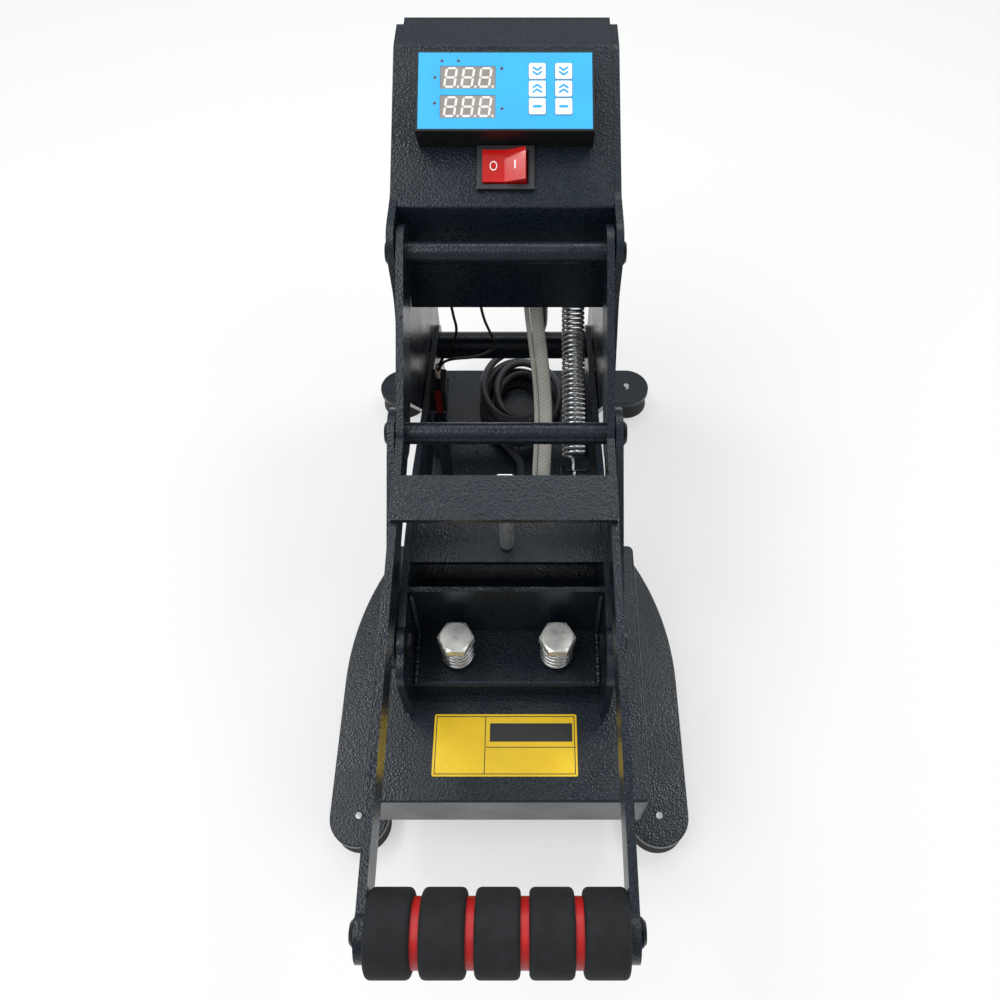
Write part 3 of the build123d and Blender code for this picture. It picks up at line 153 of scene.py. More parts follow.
def plated_steel(name, dark, light, roughness, spot_mm, metal=1.0):
    """Plated steel whose film varies a little in tone and gloss; a milky film is less of a mirror."""
    material, tree, shader, place = new_material(name, Metallic=metal)
    film = noise_of(tree, place, spot_mm * MM, 4.0)
    tint_by(tree, shader, film, (0.3, dark), (0.7, light))
    gloss_by(tree, shader, film, roughness * 0.7, roughness * 1.3)
    bump_by(tree, shader, (film, 0.05, 0.00005))
    return material


def threaded_steel():
    """Rolled thread of a plated bolt: rings 1.75 mm apart, with painted shade in the root."""
    material, tree, shader, place = new_material("threaded_steel", Metallic=1.0, Roughness=0.3)
    pitch = 1.75 * MM
    scale = 1 / pitch / (2 * pi)
    ring = add_node(tree, "ShaderNodeTexWave", {"Vector": place, "Scale": scale}, bands_direction="Z").outputs["Fac"]
    # Painted shade: the root of the thread is coloured darker than its crest.
    tint_by(tree, shader, ring, (0.1, "#5a5a58"), (0.7, "#c2c2bf"))
    bump_by(tree, shader, (ring, 0.9, 0.0006))
    return material


def moulded_plastic(name, dark, light, roughness, grain_mm, depth, **sockets):
    """Moulded plastic or rubber: even colour with the fine grain of its mould."""
    material, tree, shader, place = new_material(name, **sockets)
    grain = noise_of(tree, place, grain_mm * MM, 3.0)
    cloud = noise_of(tree, place, 0.02, 2.0)
    tint_by(tree, shader, cloud, (0.3, dark), (0.7, light))
    gloss_by(tree, shader, grain, roughness * 0.85, roughness * 1.15)
    bump_by(tree, shader, (grain, depth, 0.0001))
    return material


def nitrile_foam():
    """Closed-cell nitrile foam: dull black skin with pores about 0.7 mm across."""
    material, tree, shader, place = new_material("nitrile_foam", Roughness=0.82)
    pores = add_node(tree, "ShaderNodeTexVoronoi", {"Vector": place, "Scale": 1 / 0.0007})
    cloud = noise_of(tree, place, 0.006, 5.0)
    tint_by(tree, shader, cloud, (0.35, "#07090b"), (0.7, "#14171b"))
    bump_by(tree, shader, (cloud, 0.4, 0.0006), (pores.outputs["Distance"], 0.5, 0.0002))
    return material


def braided_glass_sleeve():
    """Braided glass sleeving: off-white strands crossing at a slant, about 1.2 mm wide, with painted shade in the gaps
    between them.
    """
    material, tree, shader, place = new_material("braided_glass_sleeve", Roughness=0.75)
    strip = add_node(tree, "ShaderNodeUVMap", uv_map="lay").outputs["UV"]
    strand_pair = 0.0024
    scale = 1 / strand_pair / pi
    heights = []
    for turn in (0.9, -0.9):
        slant = add_node(tree, "ShaderNodeMapping", {"Vector": strip, "Rotation": (0, 0, turn)}).outputs["Vector"]
        strand = add_node(tree, "ShaderNodeTexWave", {"Vector": slant, "Scale": scale}, wave_profile="SIN")
        heights.append(strand.outputs["Fac"])
    cross = add_node(tree, "ShaderNodeMath", {0: heights[0], 1: heights[1]}, operation="MAXIMUM").outputs[0]
    soil = noise_of(tree, place, 0.01, 4.0)
    # Painted shade: the colour darkens in the gaps between strands, and a soil noise darkens it a little further at
    # random.
    shade = add_node(tree, "ShaderNodeMath", {0: cross, 1: soil}, operation="MULTIPLY").outputs[0]
    tint_by(tree, shader, shade, (0.0, "#c4c1b7"), (0.3, "#d6d3c9"), (0.7, "#e4e1d8"))
    bump_by(tree, shader, (cross, 0.4, 0.0003))
    return material


def cast_heater_alloy():
    """Cast and ground aluminium of the heater block: pale, with fine grinding marks."""
    material, tree, shader, place = new_material("cast_heater_alloy", Metallic=1.0, Roughness=0.42)
    lay = add_node(tree, "ShaderNodeMapping", {"Vector": place, "Scale": (40, 1200, 1200)}).outputs["Vector"]
    mark = noise_of(tree, lay, 1.0, 3.0)
    tint_by(tree, shader, mark, (0.3, "#9c9d9e"), (0.7, "#c3c4c5"))
    bump_by(tree, shader, (mark, 0.2, 0.0001))
    return material


def pale_floor():
    """Painted studio floor: pale, matte, a little whiter to the camera and to gloss."""
    material, tree, shader, _ = new_material("pale_floor", Roughness=0.9, Base_Color=linear("#f2f1ef"))
    path = add_node(tree, "ShaderNodeLightPath").outputs
    rays = {0: path["Is Camera Ray"], 1: path["Is Glossy Ray"]}
    seen = add_node(tree, "ShaderNodeMath", rays, operation="MAXIMUM").outputs[0]
    share = add_node(tree, "ShaderNodeMath", {0: seen, 1: 0.45}, operation="MULTIPLY").outputs[0]
    white = add_node(tree, "ShaderNodeEmission", {"Color": linear("#ffffff"), "Strength": 1.0}).outputs["Emission"]
    mix = add_node(tree, "ShaderNodeMixShader", {"Fac": share, 1: shader.outputs["BSDF"], 2: white})
    output = [node for node in tree.nodes if node.type == "OUTPUT_MATERIAL"][0]
    tree.links.new(mix.outputs["Shader"], output.inputs["Surface"])
    return material


FINISHES = {}


def finish_of(name):
    """Make each finish once, from the colours in the panel, and hand it out again."""
    if name in FINISHES:
        return FINISHES[name]
    colours = bpy.context.scene.press_colours
    blue = hex_of(colours.face_blue)
    red = hex_of(colours.rocker_red)
    grip = hex_of(colours.grip_red)
    makers = {
        "powder": hammertone_powder_coat,
        "zinc": lambda: plated_steel("zinc_plated_steel", "#c2c3c0", "#e2e3e0", 0.34, 2.5, 0.75),
        "bright": lambda: plated_steel("bright_zinc_steel", "#dcdcd6", "#f0f0ea", 0.3, 7.0, 0.65),
        "oxide": lambda: plated_steel("black_oxide_steel", "#17181b", "#26282c", 0.36, 1.5),
        "chrome": lambda: plated_steel("chrome_plated_steel", "#c9cacc", "#e8e9ea", 0.13, 4.0),
        "spring": lambda: plated_steel("spring_steel_wire", "#a3a4a5", "#cfd0d1", 0.24, 1.0, 0.85),
        "thread": threaded_steel,
        "rubber": lambda: moulded_plastic("moulded_rubber", "#141414", "#202020", 0.72, 0.5, 0.35),
        "foam": nitrile_foam,
        "grip": lambda: moulded_plastic("dipped_vinyl_red", shaded(grip, 0.86), grip, 0.42, 0.8, 0.15),
        "silicone": lambda: moulded_plastic("silicone_sheet", "#a9a8a3", "#b8b7b2", 0.62, 0.6, 0.25),
        "housing": lambda: moulded_plastic("abs_black", "#0d0d0f", "#151517", 0.42, 0.35, 0.3),
        "face": lambda: moulded_plastic("printed_polyester_blue", shaded(blue, 0.96), blue, 0.36, 0.6, 0.1),
        "window": lambda: moulded_plastic("smoked_window", "#8d867f", "#a09992", 0.2, 1.5, 0.05),
        "segment": lambda: moulded_plastic("unlit_segment", "#e2ded8", "#efece7", 0.4, 1.0, 0.05),
        "key": lambda: moulded_plastic("moulded_key_white", "#ececee", "#f6f6f7", 0.38, 0.5, 0.1),
        "mark": lambda: moulded_plastic("printed_mark_blue", shaded(blue, 0.9), blue, 0.4, 0.8, 0.05),
        "lamp": lambda: moulded_plastic("unlit_lamp", "#6e2f28", "#87413a", 0.3, 1.0, 0.05),
        "board": lambda: moulded_plastic("circuit_board", "#0f3d1f", "#155029", 0.45, 1.2, 0.2),
        "bezel": lambda: moulded_plastic("nylon_black", "#1f2022", "#2b2c2e", 0.45, 0.4, 0.25),
        "rocker": lambda: moulded_plastic("polycarbonate_red", shaded(red, 0.9), red, 0.16, 2.0, 0.05, Coat_Weight=0.4),
        "white_print": lambda: moulded_plastic("printed_mark_white", "#f0efec", "#fafafa", 0.5, 1.0, 0.05),
        "cord": lambda: moulded_plastic("pvc_cord_jacket", "#35363a", "#46474b", 0.46, 0.9, 0.2),
        "lead": lambda: moulded_plastic("pvc_wire_black", "#0e0e0f", "#19191a", 0.4, 0.7, 0.1),
        "ferrule": lambda: moulded_plastic("heat_shrink_beige", "#b9a98e", "#cbbca2", 0.55, 0.6, 0.2),
        "switch": lambda: moulded_plastic("phenolic_black", "#131313", "#1d1d1d", 0.5, 0.5, 0.25),
        "plunger": lambda: moulded_plastic("nylon_red", "#7c1913", "#931f18", 0.4, 0.8, 0.1),
        "sleeve": braided_glass_sleeve,
        "alloy": cast_heater_alloy,
        "wool": lambda: moulded_plastic("mineral_wool", "#cfcdc4", "#e2e0d8", 0.9, 0.4, 0.9),
        "plate": lambda: moulded_plastic("printed_foil_yellow", "#e9bd12", "#f3cc1f", 0.3, 1.6, 0.08),
        "ink": lambda: moulded_plastic("printed_ink_black", "#141414", "#1e1e1e", 0.45, 1.0, 0.05),
        "floor": pale_floor,
    }
    FINISHES[name] = makers[name]()
    return FINISHES[name]


def hex_of(colour):
    """The hex text of a colour property, which holds sRGB values."""
    return "#" + "".join("%02x" % round(max(0.0, min(1.0, value)) * 255) for value in colour[:3])


def shaded(colour, share):
    """The same hex colour, darkened to a share of its value."""
    values = [int(colour[i:i + 2], 16) for i in (1, 3, 5)]
    return "#" + "".join("%02x" % round(value * share) for value in values)


NODE_FINISHES = {
    "powder": (
        "base_plate", "platen_bracket", "lower_platen", "frame_plate_left", "frame_plate_right", "trip_post",
        "control_box_cover", "control_box_back", "handle_arm_left", "handle_arm_right", "lever_tubes",
        "handle_crossbar", "link_left", "link_right", "carriage_plate_left", "carriage_plate_right",
        "cross_channel", "carriage_deck", "hinge_tube", "heater_cover", "frame_stay",
    ),
    "zinc": ("base_bolts", "hinge_bolt", "stop_bolt"),
    "oxide": ("lever_bolt", "link_bolt", "link_pins", "carriage_studs", "grip_screws"),
    "chrome": ("foot_screws", "grip_tube"),
    "rubber": ("rubber_feet", "cord_gland", "mains_plug"),
    "grip": ("grip_sleeve",),
    "silicone": ("silicone_pad",),
    "housing": ("controller_housing",),
    "face": ("controller_face",),
    "window": ("display_windows",),
    "key": ("key_down_left", "key_down_right", "key_up_left", "key_up_right", "key_set_left", "key_set_right"),
    "board": ("controller_board",),
    "bezel": ("rocker_bezel",),
    "rocker": ("rocker",),
    "switch": ("limit_switch",),
    "plunger": ("switch_plunger",),
    "alloy": ("heater_block",),
    "wool": ("insulation",),
}


def deselect():
    """Leave edit mode and select nothing."""
    if bpy.context.object and bpy.context.object.mode != "OBJECT":
        bpy.ops.object.mode_set(mode="OBJECT")
    bpy.ops.object.select_all(action="DESELECT")


def select_only(obj):
    """Select one object and make it the active one."""
    deselect()
    obj.select_set(True)
    bpy.context.view_layer.objects.active = obj


def bake_place(obj):
    """Apply the object's place to its mesh, so that the object sits at the origin."""
    select_only(obj)
    bpy.ops.object.transform_apply(location=True, rotation=True, scale=True)


def cylinder(vertices, radius, depth, location, **more):
    """A cylinder about a place, or a prism with few sides, with its place applied."""
    deselect()
    bpy.ops.mesh.primitive_cylinder_add(vertices=vertices, radius=radius, depth=depth, location=location, **more)
    bake_place(bpy.context.object)
    return bpy.context.object


def block(place, size):
    """A block about a place, with its place and size applied."""
    deselect()
    bpy.ops.mesh.primitive_cube_add(size=1, location=place)
    bpy.context.object.scale = size
    bake_place(bpy.context.object)
    return bpy.context.object


def pick(obj, kind, test):
    """In edit mode, select the faces or edges that pass a test, and no others."""
    work = bmesh.from_edit_mesh(obj.data)
    for item in getattr(work, kind):
        item.select_set(test(item))
    bmesh.update_edit_mesh(obj.data)


def smooth(obj, angle=35):
    """Shade smooth across soft edges only."""
    select_only(obj)
    bpy.ops.object.shade_smooth_by_angle(angle=radians(angle))


def join(pieces, name):
    """Join pieces into one, at the origin, under a new name."""
    deselect()
    for piece in pieces:
        piece.select_set(True)
    bpy.context.view_layer.objects.active = pieces[0]
    if len(pieces) > 1:
        bpy.ops.object.join()
    pieces[0].name = name
    pieces[0].data.name = name
    return pieces[0]


def copy_of(obj, matrix):
    """A copy with its own mesh, moved by a matrix that is applied to the mesh."""
    twin = obj.copy()
    twin.data = obj.data.copy()
    bpy.context.scene.collection.objects.link(twin)
    twin.data.transform(matrix)
    return twin


def dress(obj, finish, body=None):
    """Give a piece its finish and the body that it rides on."""
    obj.data.materials.clear()
    obj.data.materials.append(finish_of(finish))
    if body:
        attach(obj, body)


def bevel_all(obj, width_mm, segments=2, angle=30):
    """Round every edge sharper than an angle, and apply it."""
    select_only(obj)
    modifier = obj.modifiers.new("round", "BEVEL")
    modifier.width = width_mm * MM
    modifier.segments = segments
    modifier.limit_method = "ANGLE"
    modifier.angle_limit = radians(angle)
    bpy.ops.object.modifier_apply(modifier="round")


def panel_matrix(x, up, out, turn=0.0, lean=0.0):
    """Frame on the sloping panel: x to the right, y up the slope, z out; in mm."""
    origin = PANEL_FOOT + Vector((x, 0, 0)) * MM + PANEL_UP * (up * MM) + PANEL_OUT * (out * MM)
    basis = Matrix((Vector((1, 0, 0)), PANEL_UP, PANEL_OUT)).transposed().to_4x4()
    return Matrix.Translation(origin) @ basis @ Matrix.Rotation(turn, 4, "Z") @ Matrix.Rotation(lean, 4, "Y")


def flat_bar(length, width, height):
    """A flat bar with pointed ends, as a display segment is cut; in mm, lying along X."""
    deselect()
    bpy.ops.mesh.primitive_cylinder_add(vertices=6, radius=1.0, depth=height * MM)
    bar = bpy.context.object
    for vertex in bar.data.vertices:
        x, y = vertex.co.x, vertex.co.y
        if abs(y) > 0.9:
            vertex.co.x, vertex.co.y = y * length / 2 * MM, 0.0
        else:
            vertex.co.x = (1 if y > 0 else -1) * (length - width) / 2 * MM
            vertex.co.y = (1 if x > 0 else -1) * width / 2 * MM
    select_only(bar)
    bpy.ops.object.mode_set(mode="EDIT")
    bpy.ops.mesh.select_all(action="SELECT")
    bpy.ops.mesh.normals_make_consistent(inside=False)
    bpy.ops.object.mode_set(mode="OBJECT")
    return bar


def route_line(points, resolution=6):
    """Points of the smooth line that a route's control points give, in metres."""
    curve = bpy.data.curves.new("route", "CURVE")
    curve.dimensions = "3D"
    spline = curve.splines.new("NURBS")
    spline.points.add(len(points) - 1)
    for point, place in zip(spline.points, points):
        point.co = (*place, 1.0)
    spline.order_u = 3
    spline.use_endpoint_u = True
    spline.resolution_u = resolution
    holder = bpy.data.objects.new("route", curve)
    bpy.context.scene.collection.objects.link(holder)
    bpy.context.view_layer.update()
    mesh = bpy.data.meshes.new_from_object(holder)
    line = [vertex.co.copy() for vertex in mesh.vertices]
    bpy.data.objects.remove(holder)
    bpy.data.curves.remove(curve)
    bpy.data.meshes.remove(mesh)
    return line


def tube_along(name, points, half_a, half_b, sides, side_way, resolution=6):
    """A closed tube along a route, with a strip UV in metres: across, then along."""
    line = route_line([Vector(point) for point in points], resolution)
    mesh = bpy.data.meshes.new(name)
    work = bmesh.new()
    lay = work.loops.layers.uv.new("lay")
    across = Vector(side_way).normalized()
    rings = []
    runs = [0.0]
    for i, centre in enumerate(line):
        ahead = line[min(i + 1, len(line) - 1)] - line[max(i - 1, 0)]
        ahead.normalize()
        across = (across - ahead * across.dot(ahead)).normalized()
        other = ahead.cross(across)
        ring = []
        for k in range(sides):
            angle = 2 * pi * k / sides
            ring.append(work.verts.new(centre + across * (half_a * cos(angle)) + other * (half_b * sin(angle))))
        rings.append(ring)
        if i:
            runs.append(runs[-1] + (line[i] - line[i - 1]).length)
    girth = pi * (half_a + half_b)
    for i in range(len(rings) - 1):
        for k in range(sides):
            j = (k + 1) % sides
            face = work.faces.new((rings[i][k], rings[i][j], rings[i + 1][j], rings[i + 1][k]))
            corners = ((k, i), (k + 1, i), (k + 1, i + 1), (k, i + 1))
            for loop, (u, v) in zip(face.loops, corners):
                loop[lay].uv = (girth * u / sides, runs[v])
            face.smooth = True
    work.faces.new(list(reversed(rings[0])))
    work.faces.new(rings[-1])
    bmesh.ops.recalc_face_normals(work, faces=work.faces)
    work.to_mesh(mesh)
    work.free()
    tube = bpy.data.objects.new(name, mesh)
    bpy.context.scene.collection.objects.link(tube)
    return tube


def coil_points(origin, along, side, radius, pitch, turns, per_turn=12):
    """Control points of a coil about an axis, set out so that the line has the radius; in metres."""
    other = along.cross(side)
    grown = radius / cos(pi / per_turn)
    points = []
    for i in range(int(turns * per_turn) + 1):
        angle = 2 * pi * i / per_turn
        spoke = side * (grown * cos(angle)) + other * (grown * sin(angle))
        points.append(origin + spoke + along * (pitch * i / per_turn))
    return points


def length_of(name, about, value):
    """A length in the panel, in metres."""
    return bpy.props.FloatProperty(name=name, description=about, default=value, unit="LENGTH")


def turns_of(name, about, value):
    """A count of turns in the panel."""
    return bpy.props.IntProperty(name=name, description=about, default=value)


def colour_of(name, about, value):
    """An sRGB colour in the panel."""
    return bpy.props.FloatVectorProperty(
        name=name, description=about, default=value, subtype="COLOR_GAMMA", size=3, min=0, max=1
    )


class PressSizes(bpy.types.PropertyGroup):
    """Sizes that a user would change."""

    groove: length_of("Groove", "Gap between foam rings", 0.0035)
    foam_radius: length_of("Foam radius", "Outer radius of the foam", 0.0175)
    cord_diameter: length_of("Cord diameter", "Outside of the mains cord", 0.006)
    lift_turns: turns_of("Lift spring turns", "Turns of the lift spring", 45)
    platen_turns: turns_of("Platen spring turns", "Turns of each platen spring", 4)
    plate_width: length_of("Foil plate width", "Width of the yellow foil on the cover", 0.082)
    plate_depth: length_of("Foil plate depth", "Depth of the yellow foil on the cover", 0.036)


class PressColours(bpy.types.PropertyGroup):
    """Colours that a user would change, as sRGB."""

    face_blue: colour_of("Face blue", "Controller face", (0.2, 0.7, 0.94))
    rocker_red: colour_of("Rocker red", "Power rocker", (0.8, 0.08, 0.05))
    grip_red: colour_of("Grip red", "Sleeve under the foam rings", (0.8, 0.06, 0.05))


class PRESS_OT_finishes(bpy.types.Operator):
    """Give every solid of the frame its finish"""

    bl_idname = "press.finishes"
    bl_label = "Frame finishes"

    def execute(self, context):
        for finish, nodes in NODE_FINISHES.items():
            for node in nodes:
                dress(bpy.data.objects[node], finish)
        return {"FINISHED"}


class PRESS_OT_foam(bpy.types.Operator):
    """Five foam rings on the grip, with a red groove between each pair"""

    bl_idname = "press.foam"
    bl_label = "Foam grip"

    def execute(self, context):
        sizes = context.scene.press_sizes
        low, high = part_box("foam_grip")
        count = 5
        length = (high[0] - low[0] - (count - 1) * sizes.groove) / count
        bore = 0.01405
        rounding = 0.0027

        def is_rim(edge):
            one, two = (vertex.co - GRIP for vertex in edge.verts)
            outside = min(one.yz.length, two.yz.length) > sizes.foam_radius * 0.98
            return outside and abs(one.x - two.x) < 1e-6

        ring = cylinder(96, sizes.foam_radius, length, GRIP, rotation=(0, pi / 2, 0))
        bpy.ops.object.mode_set(mode="EDIT")
        pick(ring, "faces", lambda face: abs(face.normal.x) > 0.9)
        bpy.ops.mesh.inset(thickness=sizes.foam_radius - bore)
        pick(ring, "faces", lambda face: abs(face.normal.x) > 0.9 and len(face.verts) > 10)
        bpy.ops.mesh.delete(type="FACE")
        bpy.ops.mesh.select_all(action="DESELECT")
        bpy.ops.mesh.select_mode(type="EDGE")
        pick(ring, "edges", lambda edge: edge.is_boundary)
        bpy.ops.mesh.bridge_edge_loops()
        bpy.ops.mesh.select_all(action="DESELECT")
        pick(ring, "edges", is_rim)
        bpy.ops.mesh.bevel(offset=rounding, segments=5, profile=0.55)
        bpy.ops.mesh.select_all(action="SELECT")
        bpy.ops.mesh.normals_make_consistent(inside=False)
        bpy.ops.object.mode_set(mode="OBJECT")
        smooth(ring, 50)
        start = low[0] + length / 2
        step = length + sizes.groove
        rings = [copy_of(ring, Matrix.Translation((start + i * step, 0, 0))) for i in range(count)]
        bpy.data.objects.remove(ring)
        grip = join(rings, "foam_rings")
        dress(grip, "foam", "handle")
        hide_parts("foam_grip")
        return {"FINISHED"}


class PRESS_OT_platen_bolts(bpy.types.Operator):
    """The two big bolts that hold the heater, with chamfered heads, washers and threads"""

    bl_idname = "press.platen_bolts"
    bl_label = "Platen bolts"

    def execute(self, context):
        low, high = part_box("platen_bolts")
        head_r, head_h, hex_h = 0.0105, 0.0076, 0.0068
        cone_foot, cone_top, cone_h = 0.0225, 0.0085, 0.0081
        collar_r, collar_h, shank_r = 0.0092, 0.0009, 0.00585
        x = high[0] - head_r
        y = (low[1] + high[1]) / 2
        top = high[2]
        head = cylinder(6, head_r, hex_h, (x, y, top - hex_h / 2), rotation=(0, 0, pi / 2))
        deselect()
        bpy.ops.mesh.primitive_cone_add(
            vertices=72, radius1=cone_foot, radius2=cone_top, depth=cone_h, location=(x, y, top - cone_h / 2)
        )
        cutter = context.object
        bake_place(cutter)
        chamfer = head.modifiers.new("chamfer", "BOOLEAN")
        chamfer.operation = "INTERSECT"
        chamfer.object = cutter
        select_only(head)
        bpy.ops.object.modifier_apply(modifier="chamfer")
        bpy.data.objects.remove(cutter)
        bevel_all(head, 0.15, 1, 40)
        collar = cylinder(72, collar_r, collar_h, (x, y, top - head_h + collar_h / 2))
        bevel_all(collar, 0.2, 2)
        shank_low, shank_high = low[2] + 0.0005, top - head_h
        shank = cylinder(48, shank_r, shank_high - shank_low, (x, y, (shank_high + shank_low) / 2))
        bevel_all(shank, 0.6, 2)
        across = Matrix.Translation((-2 * x, 0, 0))
        heads = [head, collar, copy_of(head, across), copy_of(collar, across)]
        shanks = join([shank, copy_of(shank, across)], "platen_bolt_threads")
        smooth(shanks, 40)
        bolts = join(heads, "platen_bolt_heads")
        smooth(bolts, 25)
        dress(bolts, "bright", "platen")
        dress(shanks, "thread", "platen")
        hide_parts("platen_bolts")
        return {"FINISHED"}


class PRESS_OT_platen_springs(bpy.types.Operator):
    """The two short coil springs under the platen bolts' heads"""

    bl_idname = "press.platen_springs"
    bl_label = "Platen springs"

    def execute(self, context):
        turns = context.scene.press_sizes.platen_turns
        low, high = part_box("platen_springs")
        wire = 0.0012
        radius = 0.0085
        bottom = low[2] + wire
        height = high[2] - low[2] - 2 * wire
        for side, name in ((-1, "platen_spring_left"), (1, "platen_spring_right")):
            origin = Vector((side * (high[0] - radius - wire), (low[1] + high[1]) / 2, bottom))
            points = coil_points(origin, Vector((0, 0, 1)), Vector((1, 0, 0)), radius, height / turns, turns)
            spring = tube_along(name, points, wire, wire, 14, (0, 0, 1), 3)
            dress(spring, "spring")
            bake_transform(spring)
            if side < 0:
                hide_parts("platen_springs")
        return {"FINISHED"}


class PRESS_OT_lift_spring(bpy.types.Operator):
    """The long spring at the right, hooked over the stay and over the carriage's post"""

    bl_idname = "press.lift_spring"
    bl_label = "Lift spring"

    def execute(self, context):
        turns = context.scene.press_sizes.lift_turns
        foot = Vector((0.040, 0.0385, 0.148))
        top = Vector((0.040, 0.1825, 0.222))
        along = (top - foot).normalized()
        out = Vector((1, 0, 0))
        up = along.cross(out)
        eye = 0.013
        hook = 0.0052
        wire = 0.00095
        pitch = ((top - foot).length - 2 * eye) / turns
        coil = coil_points(foot + along * eye, along, up, 0.0063, pitch, turns)
        start = [
            foot - up * hook + along * 0.003, foot - up * hook - along * 0.002, foot - up * 0.003 - along * hook,
            foot + up * 0.003 - along * hook, foot + up * hook - along * 0.002, foot + up * hook + along * 0.006,
        ]
        end = [
            top + up * hook - along * 0.006, top + up * hook + along * 0.002, top + up * 0.003 + along * hook,
            top - up * 0.003 + along * hook, top - up * hook + along * 0.002, top - up * hook - along * 0.003,
        ]
        spring = tube_along("lift_spring_coil", start + coil + end, wire, wire, 8, (1, 0, 0), 3)
        dress(spring, "spring")
        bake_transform(spring)
        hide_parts("lift_spring")
        return {"FINISHED"}


# Control points of the leads, in mm
SLEEVE_ROUTE = (
    (16.0, 140.5, 214.0), (16.5, 140.5, 193.0), (19.5, 134.5, 165.0), (23.0, 118.5, 141.0),
    (24.0, 98.5, 122.0), (22.5, 74.5, 103.0), (21.0, 50.0, 89.5), (20.0, 20.0, 84.0),
)
SENSOR_ROUTE = (
    (9.9, 140.6, 214.0), (10.4, 140.6, 193.0), (13.4, 134.6, 165.0), (16.9, 118.7, 141.0),
    (17.9, 98.7, 122.0), (16.4, 74.7, 103.0), (15.0, 50.0, 89.5), (13.8, 20.0, 84.0),
)
SWITCH_ROUTES = (
    (
        (-36.0, 128.0, 214.0), (-35.0, 128.0, 196.0), (-33.0, 129.0, 182.0), (-37.0, 130.0, 166.0),
        (-44.0, 130.5, 156.0), (-48.8, 130.5, 144.3),
    ),
    (
        (-18.0, 128.0, 214.0), (-17.0, 128.0, 196.0), (-12.0, 129.0, 178.0), (-8.0, 128.0, 165.0),
        (-22.0, 126.0, 159.0), (-38.0, 126.0, 158.0), (-46.0, 125.6, 154.0), (-48.8, 125.5, 144.3),
    ),
)


def in_metres(route):
    """A route given in mm, in metres."""
    return [Vector(point) * MM for point in route]


class PRESS_OT_leads(bpy.types.Operator):
    """The heater's braided sleeve, the sensor lead and the two wires to the limit switch"""

    bl_idname = "press.leads"
    bl_label = "Inner leads"

    def execute(self, context):
        wide, thin, sensor_r, wire = 0.0043, 0.0021, 0.0016, 0.0009
        sleeve = tube_along("braided_sleeve", in_metres(SLEEVE_ROUTE), wide, thin, 24, (1, 0, 0), 10)
        dress(sleeve, "sleeve")
        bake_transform(sleeve)
        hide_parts("heater_sleeve")
        sensor = tube_along("sensor_lead", in_metres(SENSOR_ROUTE), sensor_r, sensor_r, 12, (1, 0, 0), 10)
        dress(sensor, "sleeve")
        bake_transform(sensor)
        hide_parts("control_leads")
        wires = [tube_along("switch_wire", in_metres(route), wire, wire, 10, (1, 0, 0), 10) for route in SWITCH_ROUTES]
        pair = join(wires, "switch_wires")
        dress(pair, "lead")
        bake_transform(pair)
        ferrules = []
        for y in (125.5, 130.5):
            ferrule = cylinder(24, 1.7 * MM, 7.5 * MM, Vector((-48.8, y, 143.2)) * MM)
            bevel_all(ferrule, 0.4, 2)
            smooth(ferrule, 40)
            ferrules.append(ferrule)
        boots = join(ferrules, "switch_ferrules")
        dress(boots, "ferrule", "carriage")
        return {"FINISHED"}


# Control points of the cord before and after its hank, in mm
CORD_LEAD = (
    (22.0, 221.5, 183.0), (22.0, 221.5, 165.0), (22.5, 225.5, 140.0), (23.5, 235.5, 112.0),
    (24.3, 244.5, 86.0), (24.3, 248.1, 61.9), (17.7, 245.7, 49.8), (5.8, 241.3, 43.1),
)
CORD_TAIL = (
    (-9.5, 161.0, 23.3), (-1.0, 148.0, 25.0), (5.0, 137.0, 29.6),
    (6.0, 130.0, 30.3), (6.0, 124.0, 30.3), (6.0, 114.5, 30.3),
)


def hank_points():
    """The hank's turns: four layers that spiral in and out, and climb in half a turn."""
    layers, pitch, climb = 4, 6.6, 180.0
    centre_x, centre_y, top = 5.0, 199.5, 43.1
    per_sweep, per_climb = 12, 6
    first, last = 106.0, 5 * 360.0 + 225.0
    sweep = (last - first - (layers - 1) * climb) / layers
    draw = 14.0 * sweep / 360.0
    inside = cos(radians(14.4))
    angle = first
    points = []

    def place(turn, drawn_in, height):
        half_x = (32.0 - drawn_in) / inside
        half_y = (40.0 - drawn_in) / inside
        points.append((centre_x + half_x * cos(radians(turn)), centre_y + half_y * sin(radians(turn)), height))

    for layer in range(layers):
        height = top - layer * pitch
        for i in range(per_sweep + 1):
            share = i / per_sweep
            place(angle + share * sweep, draw * (share if layer % 2 == 0 else 1 - share), height)
        angle += sweep
        if layer < layers - 1:
            drawn_in = draw if layer % 2 == 0 else 0.0
            for i in range(1, per_climb):
                place(angle + climb * i / per_climb, drawn_in, height - pitch * i / per_climb)
            angle += climb
    return points


class PRESS_OT_cord(bpy.types.Operator):
    """The mains cord: from its gland down behind the box into a loose hank, and on to its plug"""

    bl_idname = "press.cord"
    bl_label = "Mains cord"

    def execute(self, context):
        route = list(CORD_LEAD) + hank_points() + list(CORD_TAIL)
        curve = bpy.data.curves.new("mains_cord", "CURVE")
        curve.dimensions = "3D"
        spline = curve.splines.new("NURBS")
        spline.points.add(len(route) - 1)
        for point, place in zip(spline.points, in_metres(route)):
            point.co = (*place, 1.0)
        spline.order_u = 3
        spline.use_endpoint_u = True
        spline.resolution_u = 5
        curve.bevel_depth = context.scene.press_sizes.cord_diameter / 2
        curve.bevel_resolution = 4
        curve.use_fill_caps = True
        cord = bpy.data.objects.new("mains_cord", curve)
        context.scene.collection.objects.link(cord)
        dress(cord, "cord", "frame")
        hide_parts("power_cord", "cord_hank")
        return {"FINISHED"}


# Bars of a digit: across and up in halves of its size, and whether the bar stands upright
SEGMENTS = (
    (0.0, 1.0, 0), (0.0, 0.0, 0), (0.0, -1.0, 0),
    (-1.0, 0.5, 1), (1.0, 0.5, 1), (-1.0, -0.5, 1), (1.0, -0.5, 1),
)
